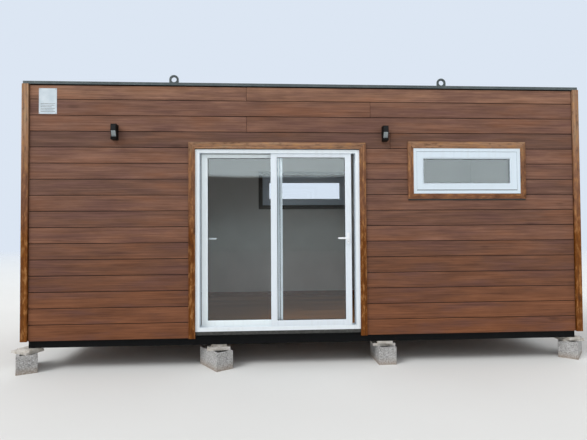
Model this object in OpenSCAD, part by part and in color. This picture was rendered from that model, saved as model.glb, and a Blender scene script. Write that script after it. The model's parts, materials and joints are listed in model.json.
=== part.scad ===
// Container cabin with timber cladding, a two-track sliding glass door and high windows.
// X runs along the long front, -Y is the front, Z is up and the ground is at zero.
// The origin is below the middle of the cabin.

/* [Steel base] */
// Length of the steel base
base_l = 6058; // [5000:1:9000]
// Width of the steel base
base_w = 2438; // [2000:1:3000]
// Height of the steel base
base_h = 140; // [125:1:200]
// Width of a base rail's flanges
rail_flange = 60; // [50:1:80]
// Thickness of a base rail's steel
rail_t = 6; // [4:1:8]
// Height of a floor joist
joist_h = 100; // [70:1:110]
// Width of a floor joist's flanges
joist_flange = 50; // [40:1:60]
// Thickness of a floor joist's steel
joist_t = 5; // [3:1:6]
// Greatest distance between two joists
joist_pitch = 640; // [400:1:900]

/* [Supports] */
// Length of a concrete block
block_l = 400; // [380:1:440]
// Width of a concrete block
block_w = 200; // [180:1:240]
// Height of a concrete block
block_h = 190; // [150:1:300]
// Thickness of a concrete block's walls
block_wall = 32; // [25:1:40]
// Rounding of a block's upright edges
block_round = 8; // [3:1:12]
// Length of a lower levelling plate
lower_plate_l = 250; // [220:1:300]
// Width of a lower levelling plate
lower_plate_w = 200; // [180:1:240]
// Length of an upper levelling plate
upper_plate_l = 170; // [150:1:210]
// Width of an upper levelling plate
upper_plate_w = 150; // [130:1:180]
// Thickness of a levelling plate
plate_t = 27; // [15:1:35]

/* [Body] */
// Height from the underside of the steel base to the top of the roof edge
body_h = 2861; // [2600:1:3100]
// Thickness of a wall panel
wall_t = 80; // [60:1:110]
// Thickness of the floor deck
floor_t = 28; // [18:1:40]
// Thickness of the ceiling boards
ceiling_t = 18; // [10:1:30]
// Height of a skirting board
skirting_h = 80; // [50:1:120]
// Thickness of a skirting board
skirting_t = 14; // [9:1:20]

/* [Roof] */
// Thickness of the flat part of the roof panel
roof_t = 65; // [40:1:90]
// Height of a roof rib
rib_h = 25; // [15:1:28]
// Distance between two roof ribs
rib_pitch = 250; // [180:1:400]
// Width of a roof rib at its foot
rib_foot = 70; // [50:1:100]
// Width of a roof rib at its crown
rib_crown = 36; // [20:1:45]
// Height of the strip round the roof edge
edge_h = 31; // [26:1:80]
// Distance that the roof edge stands out from the cladding
edge_overhang = 12; // [5:1:18]
// Width of the roof edge's top
edge_top_w = 112; // [104:1:150]
// Thickness of the roof edge's sheet
edge_t = 3; // [2:1:5]

/* [Lifting lugs] */
// Places of the lugs along the front and the back
lug_x = [-1500, 1518];
// Width of a lug
lug_w = 104; // [80:1:120]
// Diameter of the hole in a lug
lug_hole_d = 56; // [30:1:60]
// Thickness of a lug
lug_t = 15; // [10:1:25]
// Height of the hole's centre above the roof edge
lug_rise = 56; // [40:1:80]
// Width of a lug's foot plate
lug_foot_w = 150; // [130:1:200]
// Depth of a lug's foot plate
lug_foot_d = 50; // [40:1:60]
// Thickness of a lug's foot plate
lug_foot_t = 8; // [5:1:12]

/* [Cladding] */
// Thickness of the cladding with its battens
clad_t = 40; // [30:1:60]
// Distance that the cladding hangs below the top of the steel base
clad_drop = 62; // [30:1:90]
// Distance from the cladding's top edge to the top of the roof edge
clad_top_gap = 19; // [10:1:25]
// Width of the trim boards on the corners and round the door
trim_w = 70; // [50:1:100]
// Thickness of the trim boards
trim_t = 20; // [15:1:30]
// Distance that a trim board laps over the frame behind it
trim_lap = 5; // [2:1:12]
// Gap round a door or window frame in its wall
fitting_gap = 5; // [2:1:10]

/* [Sliding door] */
// Place of the door's middle along the front
door_x = -355; // [-600:1:-100]
// Width of the door frame between its trim boards
door_w = 1810; // [1500:1:2100]
// Height of the door frame below its trim board
door_h = 1992; // [1900:1:2200]
// Height of the door frame's underside above the steel base
sill_lift = 8; // [4:1:15]
// Width of the door frame's face
frame_face = 45; // [42:1:70]
// Thickness of the lips beside the tracks
track_lip = 8; // [6:1:12]
// Thickness of a sash
sash_t = 36; // [30:1:42]
// Clearance on each side of a sash in its track
track_gap = 5; // [5:1:8]
// Distance that a closed sash reaches into the frame at its sides and below
track_catch = 15; // [12:1:18]
// Distance that a sash reaches into the frame above
top_catch = 23; // [18:1:26]
// Width of the overlap of the two closed sashes
sash_overlap = 42; // [30:1:60]
// Width of a sash's meeting stile
meeting_stile = 55; // [50:1:90]
// Width of a sash's lock stile
lock_stile = 55; // [55:1:90]
// Height of a sash's top rail
top_rail = 55; // [50:1:90]
// Height of a sash's bottom rail
bottom_rail = 62; // [56:1:130]
// Distance that the right sash stands open
ajar = 61; // [20:1:200]
// Distance that the left sash stands open
left_ajar = 27; // [0:1:60]
// Thickness of a sealed glass unit
glass_t = 24; // [20:1:28]
// Depth of the glass rebate
rebate = 12; // [8:1:18]
// Diameter of a roller
roller_d = 24; // [20:1:28]
// Width of a roller
roller_w = 5; // [4:1:7]
// Height of the rail that the rollers run on
rail_h = 4; // [3:1:6]
// Width of the rail that the rollers run on
rail_w = 6; // [4:1:8]

/* [Door levers] */
// Height of the levers above the underside of the door frame
lever_z = 1004; // [900:1:1150]
// Length of a lever from its spindle
lever_l = 120; // [90:1:140]
// Height of a lever's arm
lever_arm_h = 18; // [12:1:24]
// Thickness of a lever's arm
lever_arm_t = 12; // [8:1:16]
// Distance from the handle plate to the arm
lever_standoff = 22; // [15:1:35]
// Diameter of a lever's spindle
spindle_d = 16; // [12:1:20]
// Distance of the spindle from the edge of its sash
lever_inset = 38; // [36:1:39]
// Width of a handle plate
handle_plate_w = 30; // [26:1:32]
// Height of a handle plate
handle_plate_h = 122; // [110:1:230]
// Thickness of a handle plate
handle_plate_t = 8; // [5:1:12]
// Diameter of a key cylinder
key_d = 17; // [14:1:20]
// Distance from the spindle down to the key cylinder
key_drop = 34; // [30:1:50]

/* [Windows] */
// Place of the front window's middle along the front
front_win_x = 1775; // [1500:1:2000]
// Width of the front window between its trim boards
front_win_w = 1231; // [800:1:1600]
// Place of the back window's middle along the back
back_win_x = 140; // [-600:1:600]
// Width of the back window between its trim boards
back_win_w = 1420; // [800:1:2000]
// Height of a window between its trim boards
win_h = 510; // [400:1:700]
// Height of the windows' top above the top of the door frame
win_rise = 12; // [0:1:40]
// Width of a window frame's face
win_face = 37; // [25:1:50]
// Depth of a window frame behind the face of the cladding
win_depth = 70; // [60:1:90]
// Distance from the face of the trim boards back to the window frame's face
win_shadow = 3; // [1:1:15]
// Width of a window sash's face
win_sash_face = 66; // [50:1:100]
// Thickness of a window sash
win_sash_t = 52; // [40:1:56]
// Distance from the frame's face back to the window sash
win_setback = 4; // [2:1:14]
// Distance from a window sash's face back to its glass
win_pane_depth = 9; // [6:1:12]
// Width of the trim boards beside a window
win_side_trim = 62; // [50:1:100]
// Width of the trim board above a window
win_head_trim = 74; // [50:1:100]
// Width of the trim board below a window
win_low_trim = 58; // [50:1:100]
// Width of the inner casing boards
casing_w = 64; // [40:1:90]
// Thickness of the inner casing boards
casing_t = 15; // [10:1:20]

/* [Wall lights] */
// Places of the two wall lights along the front
light_x = [-2109, 834];
// Height of a light's middle above the top of the steel base
light_z = 2167; // [2000:1:2300]
// Width of a wall light
light_w = 59; // [50:1:130]
// Height of a wall light
light_h = 166; // [130:1:200]
// Depth of a wall light
light_d = 85; // [60:1:110]
// Thickness of a wall light's rim
light_rim = 5; // [4:1:10]

/* [Hidden] */
$fn = 48;

fit = 0.3;
cut = 1;
timber = "#7d5847";
pale_timber = "#96694f";
white_plastic = "#dfe8ef";
dark_steel = "#1b1a1a";
grey_metal = "#5a6164";
concrete = "#a19e9a";

// Heights
base_z = block_h + 2 * plate_t;
deck_z = base_z + base_h;
roof_top_z = base_z + body_h;
clad_z = [deck_z - clad_drop, roof_top_z - clad_top_gap];
rib_top_z = roof_top_z - edge_t - 5;
roof_z = rib_top_z - rib_h;
wall_top_z = roof_z - roof_t;
edge_z = roof_top_z - edge_h;

// Half sizes from the middle of the cabin
half_l = base_l / 2;
half_w = base_w / 2;
clad_l = half_l + clad_t;
clad_w = half_w + clad_t;
trim_l = clad_l + trim_t;
trim_face = clad_w + trim_t;
room_l = half_l - wall_t;
room_w = half_w - wall_t;
edge_l = clad_l + edge_overhang;
edge_w = clad_w + edge_overhang;

// Door frame: the ring behind the trim boards, and the clear opening inside it
door_span = [door_x - door_w / 2, door_x + door_w / 2];
door_ring = [door_span[0] - trim_lap, door_span[1] + trim_lap];
door_z = deck_z + sill_lift;
door_top = door_z + door_h;
door_ring_top = door_top + trim_lap;
clear_span = [door_span[0] + frame_face, door_span[1] - frame_face];
clear_z = [door_z + frame_face, door_top - frame_face];
track_w = sash_t + 2 * track_gap;
door_depth = 3 * track_lip + 2 * track_w;
groove_d = track_catch + track_gap;
low_groove_d = groove_d + rail_h;
top_groove_d = top_catch + track_gap;
outer_track_y = -clad_w + track_lip;
inner_track_y = outer_track_y + track_w + track_lip;

// Sashes
sash_w = (clear_span[1] - clear_span[0] + 2 * track_catch + sash_overlap) / 2;
sash_z = [clear_z[0] - track_catch, clear_z[1] + top_catch];
left_sash_x = clear_span[0] - track_catch + left_ajar;
right_sash_x = clear_span[1] + track_catch - sash_w - ajar;
left_sash_y = inner_track_y + track_gap;
right_sash_y = outer_track_y + track_gap;
lever_world_z = door_z + lever_z;
wheel_z = sash_z[0] - track_gap + fit + roller_d / 2;
pocket_w = roller_w + 11;
pocket_l = roller_d + 16;
pocket_h = roller_d + 6;
roller_inset = 110;

// Windows: their frames stand a little behind the face of the trim boards
win_z = [door_top + win_rise - win_h, door_top + win_rise];
win_frame_y = -trim_face + win_shadow;
win_sash_y = win_frame_y + win_setback;
win_pane_y = win_sash_y + win_pane_depth;

// Joists stand at equal distances between the end rails
joist_gaps = ceil((base_l - 2 * rail_flange) / joist_pitch);
joist_step = (base_l - 2 * rail_flange) / joist_gaps;

// Roof ribs stand inside the roof edge
rib_count = floor((2 * (half_l - edge_top_w) - rib_foot) / rib_pitch) + 1;

// Loose blocks and plates of the front: middle along X, middle from the base rail's face, and turn
block_places = [[-half_l - 55, 78, 27], [-1045, 39, 34], [838, 129, 1], [half_l + 57, 162, -41]];
lower_plate_places = [[-half_l - 38, 56, -28], [-1020, 49, 7], [825, 109, -2], [half_l + 11, 129, 0]];
upper_plate_places = [[-half_l - 1, 29, -25], [-1012, 94, -2], [833, 69, -4], [half_l - 19, 69, 20]];

// A box between two corners, given as a span along each axis
module span_box(x, y, z) {
    translate([x[0], y[0], z[0]]) cube([x[1] - x[0], y[1] - y[0], z[1] - z[0]]);
}

// A rectangular ring that stands along X, open through Y
module upright_ring(x, y, z, face) {
    difference() {
        span_box(x, y, z);
        span_box([x[0] + face, x[1] - face], [y[0] - cut, y[1] + cut], [z[0] + face, z[1] - face]);
    }
}

// What stands on the front, and the same turned half round for the back
module front_and_back() {
    children();
    rotate([0, 0, 180]) children();
}

// A steel channel along X with its back at y = 0 and its flanges towards +Y
module channel(length, height, flange, t) {
    difference() {
        cube([length, flange, height]);
        translate([-cut, t, t]) cube([length + 2 * cut, flange, height - 2 * t]);
    }
}

module base_side_rails() {
    color(dark_steel) front_and_back() {
        translate([-half_l, -half_w, base_z]) channel(base_l, base_h, rail_flange, rail_t);
        for (side = [-1, 1])
            translate([side * (half_l - rail_t / 2), -half_w + rail_flange / 2, base_z + base_h / 2])
                cube([rail_t, rail_flange, base_h], center = true);
    }
}

module base_end_rails() {
    length = base_w - 2 * rail_flange;
    color(dark_steel) for (turn = [90, -90])
        rotate([0, 0, turn])
            translate([-length / 2, -half_l, base_z]) channel(length, base_h, rail_flange, rail_t);
}

module base_joists() {
    length = base_w - 2 * rail_flange;
    color(dark_steel) for (i = [1 : joist_gaps - 1])
        translate([-half_l + rail_flange + i * joist_step, 0, deck_z - joist_h])
            rotate([0, 0, 90])
                translate([-length / 2, -joist_flange / 2, 0])
                    channel(length, joist_h, joist_flange, joist_t);
}

module floor_deck() {
    color("#6b5c49") span_box([-room_l, room_l], [-room_w, room_w], [deck_z, deck_z + floor_t]);
}

// The hole that a door or window frame needs, with its fitting gap at the sides and above
module frame_hole(x, z, low = 0) {
    span_box([x[0] - trim_lap - fitting_gap, x[1] + trim_lap + fitting_gap],
        [-trim_face - cut, -room_w + cut],
        [z[0] - low, z[1] + trim_lap + fitting_gap]);
}

function win_span(middle, width) = [middle - width / 2, middle + width / 2];
front_win = win_span(front_win_x, front_win_w);
back_win = win_span(-back_win_x, back_win_w);
door_hole = [door_ring[0] - fitting_gap, door_ring[1] + fitting_gap];
door_hole_top = door_ring_top + fitting_gap;

module front_wall_left() {
    color("white") span_box([-half_l, door_hole[0]], [-half_w, -room_w], [deck_z, wall_top_z]);
}

module front_wall_right() {
    color("white") difference() {
        span_box([door_hole[1], half_l], [-half_w, -room_w], [deck_z, wall_top_z]);
        frame_hole(front_win, win_z, trim_lap);
    }
}

module front_wall_over_door() {
    color("white") span_box(door_hole, [-half_w, -room_w], [door_hole_top, wall_top_z]);
}

module back_wall() {
    color("white") rotate([0, 0, 180]) difference() {
        span_box([-half_l, half_l], [-half_w, -room_w], [deck_z, wall_top_z]);
        frame_hole(back_win, win_z, trim_lap);
    }
}

module end_wall() {
    span_box([-half_l, -room_l], [-room_w, room_w], [deck_z, wall_top_z]);
}

module left_wall() {
    color("white") end_wall();
}

module right_wall() {
    color("white") rotate([0, 0, 180]) end_wall();
}

module front_cladding_left() {
    color(timber) span_box([-clad_l, door_hole[0]], [-clad_w, -half_w], clad_z);
}

module front_cladding_right() {
    color(timber) difference() {
        span_box([door_hole[1], clad_l], [-clad_w, -half_w], clad_z);
        frame_hole(front_win, win_z, trim_lap);
    }
}

module front_cladding_over_door() {
    color(timber) span_box(door_hole, [-clad_w, -half_w], [door_hole_top, clad_z[1]]);
}

module back_cladding() {
    color(timber) rotate([0, 0, 180]) difference() {
        span_box([-clad_l, clad_l], [-clad_w, -half_w], clad_z);
        frame_hole(back_win, win_z, trim_lap);
    }
}

module end_cladding() {
    span_box([-clad_l, -half_l], [-half_w, half_w], clad_z);
}

module left_cladding() {
    color(timber) end_cladding();
}

module right_cladding() {
    color(timber) rotate([0, 0, 180]) end_cladding();
}

// Two boards round each corner, joined as an angle
module corner_trims() {
    color(pale_timber) for (side = [-1, 1]) for (end = [-1, 1])
        scale([end, side, 1]) difference() {
            span_box([trim_l - trim_w, trim_l], [trim_face - trim_w, trim_face], [clad_z[0], edge_z]);
            span_box([0, clad_l], [0, clad_w], [clad_z[0] - cut, edge_z + cut]);
        }
}

module door_trim() {
    color(pale_timber) difference() {
        span_box([door_span[0] - trim_w, door_span[1] + trim_w], [-trim_face, -clad_w],
            [clad_z[0], door_top + trim_w]);
        span_box(door_span, [-trim_face - cut, -clad_w + cut], [clad_z[0] - cut, door_top]);
    }
}

// The groove of one track all round the clear opening, with its rail standing in the bottom
module track_groove(y) {
    difference() {
        span_box([clear_span[0] - groove_d, clear_span[1] + groove_d], [y, y + track_w],
            [clear_z[0] - low_groove_d, clear_z[1] + top_groove_d]);
        span_box([clear_span[0] - groove_d - cut, clear_span[1] + groove_d + cut],
            [y + (track_w - rail_w) / 2, y + (track_w + rail_w) / 2],
            [clear_z[0] - low_groove_d - cut, clear_z[0] - groove_d]);
    }
}

module door_frame() {
    color(white_plastic) difference() {
        span_box(door_ring, [-clad_w, -clad_w + door_depth], [door_z, door_ring_top]);
        span_box(clear_span, [-clad_w - cut, -clad_w + door_depth + cut], clear_z);
        track_groove(outer_track_y);
        track_groove(inner_track_y);
    }
}

// A folded strip below the door frame: a lip in front, a ledge, a leg on the base rail, and behind it
// the packer that carries the frame
module door_sill_flashing() {
    lip_h = 25;
    leg_h = 40;
    t = 3;
    color(grey_metal) {
        span_box(door_span, [-clad_w, -clad_w + t], [deck_z - lip_h, door_z]);
        span_box(door_span, [-clad_w, -half_w], [door_z - t, door_z]);
        span_box(door_span, [-half_w - t, -half_w], [deck_z - leg_h, door_z]);
        span_box(door_span, [-half_w, -clad_w + door_depth], [deck_z, door_z]);
    }
}

// A sash frame between two corners, with different stiles, rebated for its glass
module sash_frame(x, y, left_stile, right_stile) {
    glass_x = [x + left_stile, x + sash_w - right_stile];
    glass_z = [sash_z[0] + bottom_rail, sash_z[1] - top_rail];
    middle_y = y + sash_t / 2;
    difference() {
        span_box([x, x + sash_w], [y, y + sash_t], sash_z);
        span_box(glass_x, [y - cut, y + sash_t + cut], glass_z);
        span_box([glass_x[0] - rebate, glass_x[1] + rebate],
            [middle_y - glass_t / 2 - fit, middle_y + glass_t / 2 + fit],
            [glass_z[0] - rebate, glass_z[1] + rebate]);
        for (roller_x = [x + roller_inset, x + sash_w - roller_inset])
            span_box([roller_x - pocket_l / 2, roller_x + pocket_l / 2],
                [middle_y - pocket_w / 2, middle_y + pocket_w / 2],
                [sash_z[0] - cut, sash_z[0] + pocket_h]);
    }
}

module sash_glass(x, y, left_stile, right_stile) {
    middle_y = y + sash_t / 2;
    inset = rebate - fit;
    span_box([x + left_stile - inset, x + sash_w - right_stile + inset],
        [middle_y - glass_t / 2, middle_y + glass_t / 2],
        [sash_z[0] + bottom_rail - inset, sash_z[1] - top_rail + inset]);
}

// Two roller carriages: cheeks against the pocket's sides, an axle and a wheel
module sash_rollers(x, y) {
    cheek_t = 2;
    middle_y = y + sash_t / 2;
    for (roller_x = [x + roller_inset, x + sash_w - roller_inset])
        translate([roller_x, middle_y, wheel_z]) {
            for (side = [-1, 1])
                translate([0, side * (pocket_w - cheek_t) / 2, (sash_z[0] + pocket_h - wheel_z) / 2 - 2])
                    cube([roller_d * 0.7, cheek_t, sash_z[0] + pocket_h - wheel_z + 4], center = true);
            rotate([90, 0, 0]) cylinder(d = 6, h = pocket_w - cheek_t, center = true);
            rotate([90, 0, 0]) cylinder(d = roller_d, h = roller_w, center = true);
        }
}

// A handle plate against the face y = 0, standing out towards -Y, with a bore and a key cylinder
module handle_plate() {
    difference() {
        translate([-handle_plate_w / 2, -handle_plate_t, -handle_plate_h / 2])
            cube([handle_plate_w, handle_plate_t, handle_plate_h]);
        rotate([90, 0, 0]) translate([0, 0, -cut])
            cylinder(d = spindle_d + 2 * fit, h = handle_plate_t + 2 * cut);
    }
    translate([0, -handle_plate_t + cut, -key_drop]) rotate([90, 0, 0]) cylinder(d = key_d, h = 4 + cut);
}

// A lever whose spindle lies along Y and whose arm points towards -X
module lever() {
    arm_y = -handle_plate_t - lever_standoff;
    rotate([90, 0, 0]) translate([0, 0, fit]) cylinder(d = spindle_d, h = -arm_y - fit);
    translate([0, arm_y, 0]) rotate([90, 0, 0]) {
        cylinder(d = lever_arm_h + 4, h = lever_arm_t);
        translate([-lever_l + lever_arm_h / 2, -lever_arm_h / 2, 0])
            cube([lever_l - lever_arm_h / 2, lever_arm_h, lever_arm_t]);
        translate([-lever_l + lever_arm_h / 2, 0, 0]) cylinder(d = lever_arm_h, h = lever_arm_t);
    }
}

// The right lever is on the outside face, the left lever is on the inside face
module at_right_lever() {
    translate([right_sash_x + sash_w - lever_inset, right_sash_y, lever_world_z]) children();
}

module at_left_lever() {
    translate([left_sash_x + lever_inset, left_sash_y + sash_t, lever_world_z])
        rotate([0, 0, 180]) children();
}

module left_sash_frame() {
    color(white_plastic) sash_frame(left_sash_x, left_sash_y, lock_stile, meeting_stile);
}

module left_sash_glass() {
    color("lightblue", 0.5) sash_glass(left_sash_x, left_sash_y, lock_stile, meeting_stile);
}

module left_sash_rollers() {
    color("silver") sash_rollers(left_sash_x, left_sash_y);
}

module left_handle_plate() {
    color("silver") at_left_lever() handle_plate();
}

module left_lever() {
    color("silver") at_left_lever() lever();
}

module right_sash_frame() {
    color(white_plastic) sash_frame(right_sash_x, right_sash_y, meeting_stile, lock_stile);
}

module right_sash_glass() {
    color("lightblue", 0.5) sash_glass(right_sash_x, right_sash_y, meeting_stile, lock_stile);
}

module right_sash_rollers() {
    color("silver") sash_rollers(right_sash_x, right_sash_y);
}

module right_handle_plate() {
    color("silver") at_right_lever() handle_plate();
}

module right_lever() {
    color("silver") at_right_lever() lever();
}

// Each window, as the span of its visible frame, on its own side
module each_window() {
    children(0);
    rotate([0, 0, 180]) children(1);
}

// The frame laps behind the trim boards, and its front stands between them
module window_frame(x) {
    upright_ring([x[0] - trim_lap, x[1] + trim_lap], [-clad_w, -clad_w + win_depth],
        [win_z[0] - trim_lap, win_z[1] + trim_lap], win_face + trim_lap);
    upright_ring([x[0] + fit, x[1] - fit], [win_frame_y, -clad_w + cut],
        [win_z[0] + fit, win_z[1] - fit], win_face - fit);
}

module window_sash(x) {
    sash_x = [x[0] + win_face + fit, x[1] - win_face - fit];
    z = [win_z[0] + win_face + fit, win_z[1] - win_face - fit];
    pane_inset = win_sash_face - rebate;
    difference() {
        upright_ring(sash_x, [win_sash_y, win_sash_y + win_sash_t], z, win_sash_face);
        span_box([sash_x[0] + pane_inset, sash_x[1] - pane_inset],
            [win_pane_y - fit, win_pane_y + glass_t + fit],
            [z[0] + pane_inset, z[1] - pane_inset]);
    }
}

module window_pane(x) {
    inset = win_face + fit + win_sash_face - rebate + fit;
    span_box([x[0] + inset, x[1] - inset], [win_pane_y, win_pane_y + glass_t],
        [win_z[0] + inset, win_z[1] - inset]);
}

module window_frames() {
    color(white_plastic) each_window() {
        window_frame(front_win);
        window_frame(back_win);
    }
}

module window_sashes() {
    color(white_plastic) each_window() {
        window_sash(front_win);
        window_sash(back_win);
    }
}

module window_glass() {
    color("lightblue", 0.5) each_window() {
        window_pane(front_win);
        window_pane(back_win);
    }
}

module window_trim(x) {
    difference() {
        span_box([x[0] - win_side_trim, x[1] + win_side_trim], [-trim_face, -clad_w],
            [win_z[0] - win_low_trim, win_z[1] + win_head_trim]);
        span_box(x, [-trim_face - cut, -clad_w + cut], win_z);
    }
}

module window_trims() {
    color(pale_timber) each_window() {
        window_trim(front_win);
        window_trim(back_win);
    }
}

// Inside, a window has boards in its reveal and a casing on the wall
module window_casing(x) {
    reveal_x = [x[0] - trim_lap, x[1] + trim_lap];
    reveal_z = [win_z[0] - trim_lap, win_z[1] + trim_lap];
    edge = casing_w - casing_t;
    difference() {
        union() {
            span_box(reveal_x, [-clad_w + win_depth, -room_w], reveal_z);
            span_box([reveal_x[0] - edge, reveal_x[1] + edge], [-room_w, -room_w + casing_t],
                [reveal_z[0] - edge, reveal_z[1] + edge]);
        }
        span_box([reveal_x[0] + casing_t, reveal_x[1] - casing_t],
            [-clad_w + win_depth - cut, -room_w + casing_t + cut],
            [reveal_z[0] + casing_t, reveal_z[1] - casing_t]);
    }
}

// The casing on the inside of the door, down to the floor
module door_casing() {
    difference() {
        span_box([door_ring[0] - casing_w, door_ring[1] + casing_w], [-room_w, -room_w + casing_t],
            [deck_z + floor_t, door_ring_top + casing_w]);
        span_box(door_ring, [-room_w - cut, -room_w + casing_t + cut],
            [deck_z + floor_t - cut, door_ring_top]);
    }
}

module inner_casings() {
    color("#5b3f2c") {
        each_window() {
            window_casing(front_win);
            window_casing(back_win);
        }
        door_casing();
    }
}

// Side outline of a wall light: depth from the wall and height, with a slanted front below
light_panel_h = light_h * 0.565;
light_foot_h = light_h * 0.17;
light_lens_back = 26;

module at_lights() {
    for (x = light_x) translate([x, -clad_w, deck_z + light_z - light_h / 2]) children();
}

// An outline in depth and height, carried along X and centred
module across(width) {
    translate([-width / 2, 0, 0]) rotate([90, 0, 90]) linear_extrude(width) children();
}

module wall_lights() {
    color("#1d1f21") at_lights() difference() {
        across(light_w) polygon([[0, 0], [-light_d + 4, 0], [-light_d + 4, light_foot_h],
            [-light_d + light_lens_back, light_foot_h], [-light_d, light_panel_h],
            [-light_d + 6, light_h], [0, light_h]]);
        across(light_w - 2 * light_rim) polygon([[-light_d - cut, light_foot_h],
            [-light_d - cut, light_panel_h], [-light_lens_back, light_panel_h],
            [-light_lens_back, light_foot_h]]);
    }
}

module wall_light_lenses() {
    color("#b9bdc0") at_lights() across(light_w - 2 * light_rim - 2 * fit) polygon([
        [-light_d + light_lens_back + 1, light_foot_h], [-light_d + 1, light_panel_h],
        [-light_lens_back, light_panel_h], [-light_lens_back, light_foot_h]]);
}

module roof_panel() {
    color("#8d9396") span_box([-half_l, half_l], [-half_w, half_w], [wall_top_z, roof_z]);
}

// The ribs stand on the panel and run from front to back between the roof edges
module roof_ribs() {
    rib_run = 2 * (half_w - edge_top_w);
    first_rib = -(rib_count - 1) / 2 * rib_pitch;
    color("#8d9396") for (i = [0 : rib_count - 1])
        translate([first_rib + i * rib_pitch, rib_run / 2, roof_z]) rotate([90, 0, 0])
            linear_extrude(rib_run) polygon([[-rib_foot / 2, 0], [-rib_crown / 2, rib_h],
                [rib_crown / 2, rib_h], [rib_foot / 2, 0]]);
}

lug_y = half_w - lug_foot_d / 2;

// A rectangular ring lying flat
module flat_ring(outer_l, outer_w, face, z) {
    difference() {
        span_box([-outer_l, outer_l], [-outer_w, outer_w], z);
        span_box([-outer_l + face, outer_l - face], [-outer_w + face, outer_w - face],
            [z[0] - cut, z[1] + cut]);
    }
}

module roof_edging() {
    inner = edge_top_w - edge_t;
    color(grey_metal) difference() {
        union() {
            flat_ring(edge_l, edge_w, edge_t, [edge_z, roof_top_z]);
            flat_ring(edge_l, edge_w, edge_top_w, [roof_top_z - edge_t, roof_top_z]);
            flat_ring(edge_l - inner, edge_w - inner, edge_t, [roof_z, roof_top_z]);
        }
        for (side = [-1, 1]) for (x = lug_x)
            translate([x, side * lug_y, roof_top_z])
                cube([lug_w + 2 * fit, lug_t + 2 * fit, 4 * edge_t], center = true);
    }
}

module ceiling() {
    color("white") span_box([-room_l, room_l], [-room_w, room_w], [wall_top_z - ceiling_t, wall_top_z]);
}

// A lifting eye: a foot plate on the roof, straight sides and a round top with a hole
module lifting_lug() {
    hole_z = roof_top_z + lug_rise;
    span_box([-lug_foot_w / 2, lug_foot_w / 2], [-lug_foot_d / 2, lug_foot_d / 2],
        [roof_z, roof_z + lug_foot_t]);
    difference() {
        union() {
            span_box([-lug_w / 2, lug_w / 2], [-lug_t / 2, lug_t / 2], [roof_z, hole_z]);
            translate([0, 0, hole_z]) rotate([90, 0, 0]) cylinder(d = lug_w, h = lug_t, center = true);
        }
        translate([0, 0, hole_z]) rotate([90, 0, 0])
            cylinder(d = lug_hole_d, h = lug_t + 2 * cut, center = true);
    }
}

module lifting_lugs() {
    color(grey_metal) for (side = [-1, 1]) for (x = lug_x)
        translate([x, side * lug_y, 0]) lifting_lug();
}

// The outline of a rectangle whose corners are round
module round_rectangle(length, width, r) {
    for (x = [-1, 1]) for (y = [-1, 1])
        translate([x * (length / 2 - r), y * (width / 2 - r)]) circle(r);
    square([length, width - 2 * r], center = true);
    square([length - 2 * r, width], center = true);
}

// A hollow block with two cells that run through from top to bottom
module hollow_block() {
    cell_l = (block_l - 3 * block_wall) / 2;
    cell_w = block_w - 2 * block_wall;
    linear_extrude(block_h) difference() {
        round_rectangle(block_l, block_w, block_round);
        for (side = [-1, 1])
            translate([side * (cell_l + block_wall) / 2, 0])
                round_rectangle(cell_l, cell_w, 2 * block_round);
    }
}

// Sets a loose thing at its place, in front of or below the front base rail
module at_place(place, z) {
    translate([place[0], place[1] - half_w, z]) rotate([0, 0, place[2]]) children();
}

module support_blocks() {
    color(concrete) front_and_back() for (place = block_places)
        at_place(place, 0) rotate([0, 0, 90]) hollow_block();
}

// A large and a small plate lie on each block, and the base rests on the small one
module levelling_plates() {
    color("#c4bcb0") front_and_back() for (i = [0 : len(block_places) - 1]) {
        at_place(lower_plate_places[i], block_h)
            linear_extrude(plate_t) square([lower_plate_l, lower_plate_w], center = true);
        at_place(upper_plate_places[i], block_h + plate_t - cut)
            linear_extrude(plate_t + cut) square([upper_plate_l, upper_plate_w], center = true);
    }
}

module skirting_boards() {
    z = [deck_z + floor_t, deck_z + floor_t + skirting_h];
    front_y = [-room_w, -room_w + skirting_t];
    inner_l = room_l - skirting_t;
    inner_w = room_w - skirting_t;
    color("#5b3f2c") {
        span_box([-inner_l, door_ring[0] - casing_w], front_y, z);
        span_box([door_ring[1] + casing_w, inner_l], front_y, z);
        rotate([0, 0, 180]) span_box([-inner_l, inner_l], front_y, z);
        for (turn = [0, 180]) rotate([0, 0, turn])
            span_box([-room_l, -inner_l], [-inner_w, inner_w], z);
    }
}

base_side_rails();
base_end_rails();
base_joists();
floor_deck();
front_wall_left();
front_wall_right();
front_wall_over_door();
back_wall();
left_wall();
right_wall();
front_cladding_left();
front_cladding_right();
front_cladding_over_door();
back_cladding();
left_cladding();
right_cladding();
corner_trims();
door_trim();
door_frame();
door_sill_flashing();
left_sash_frame();
left_sash_glass();
left_sash_rollers();
left_handle_plate();
left_lever();
right_sash_frame();
right_sash_glass();
right_sash_rollers();
right_handle_plate();
right_lever();
window_frames();
window_sashes();
window_glass();
window_trims();
inner_casings();
wall_lights();
wall_light_lenses();
roof_panel();
roof_ribs();
roof_edging();
ceiling();
lifting_lugs();
support_blocks();
levelling_plates();
skirting_boards();
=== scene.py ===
import json
import math

import bmesh
import bpy
import numpy as np
from mathutils import Matrix, Vector

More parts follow.
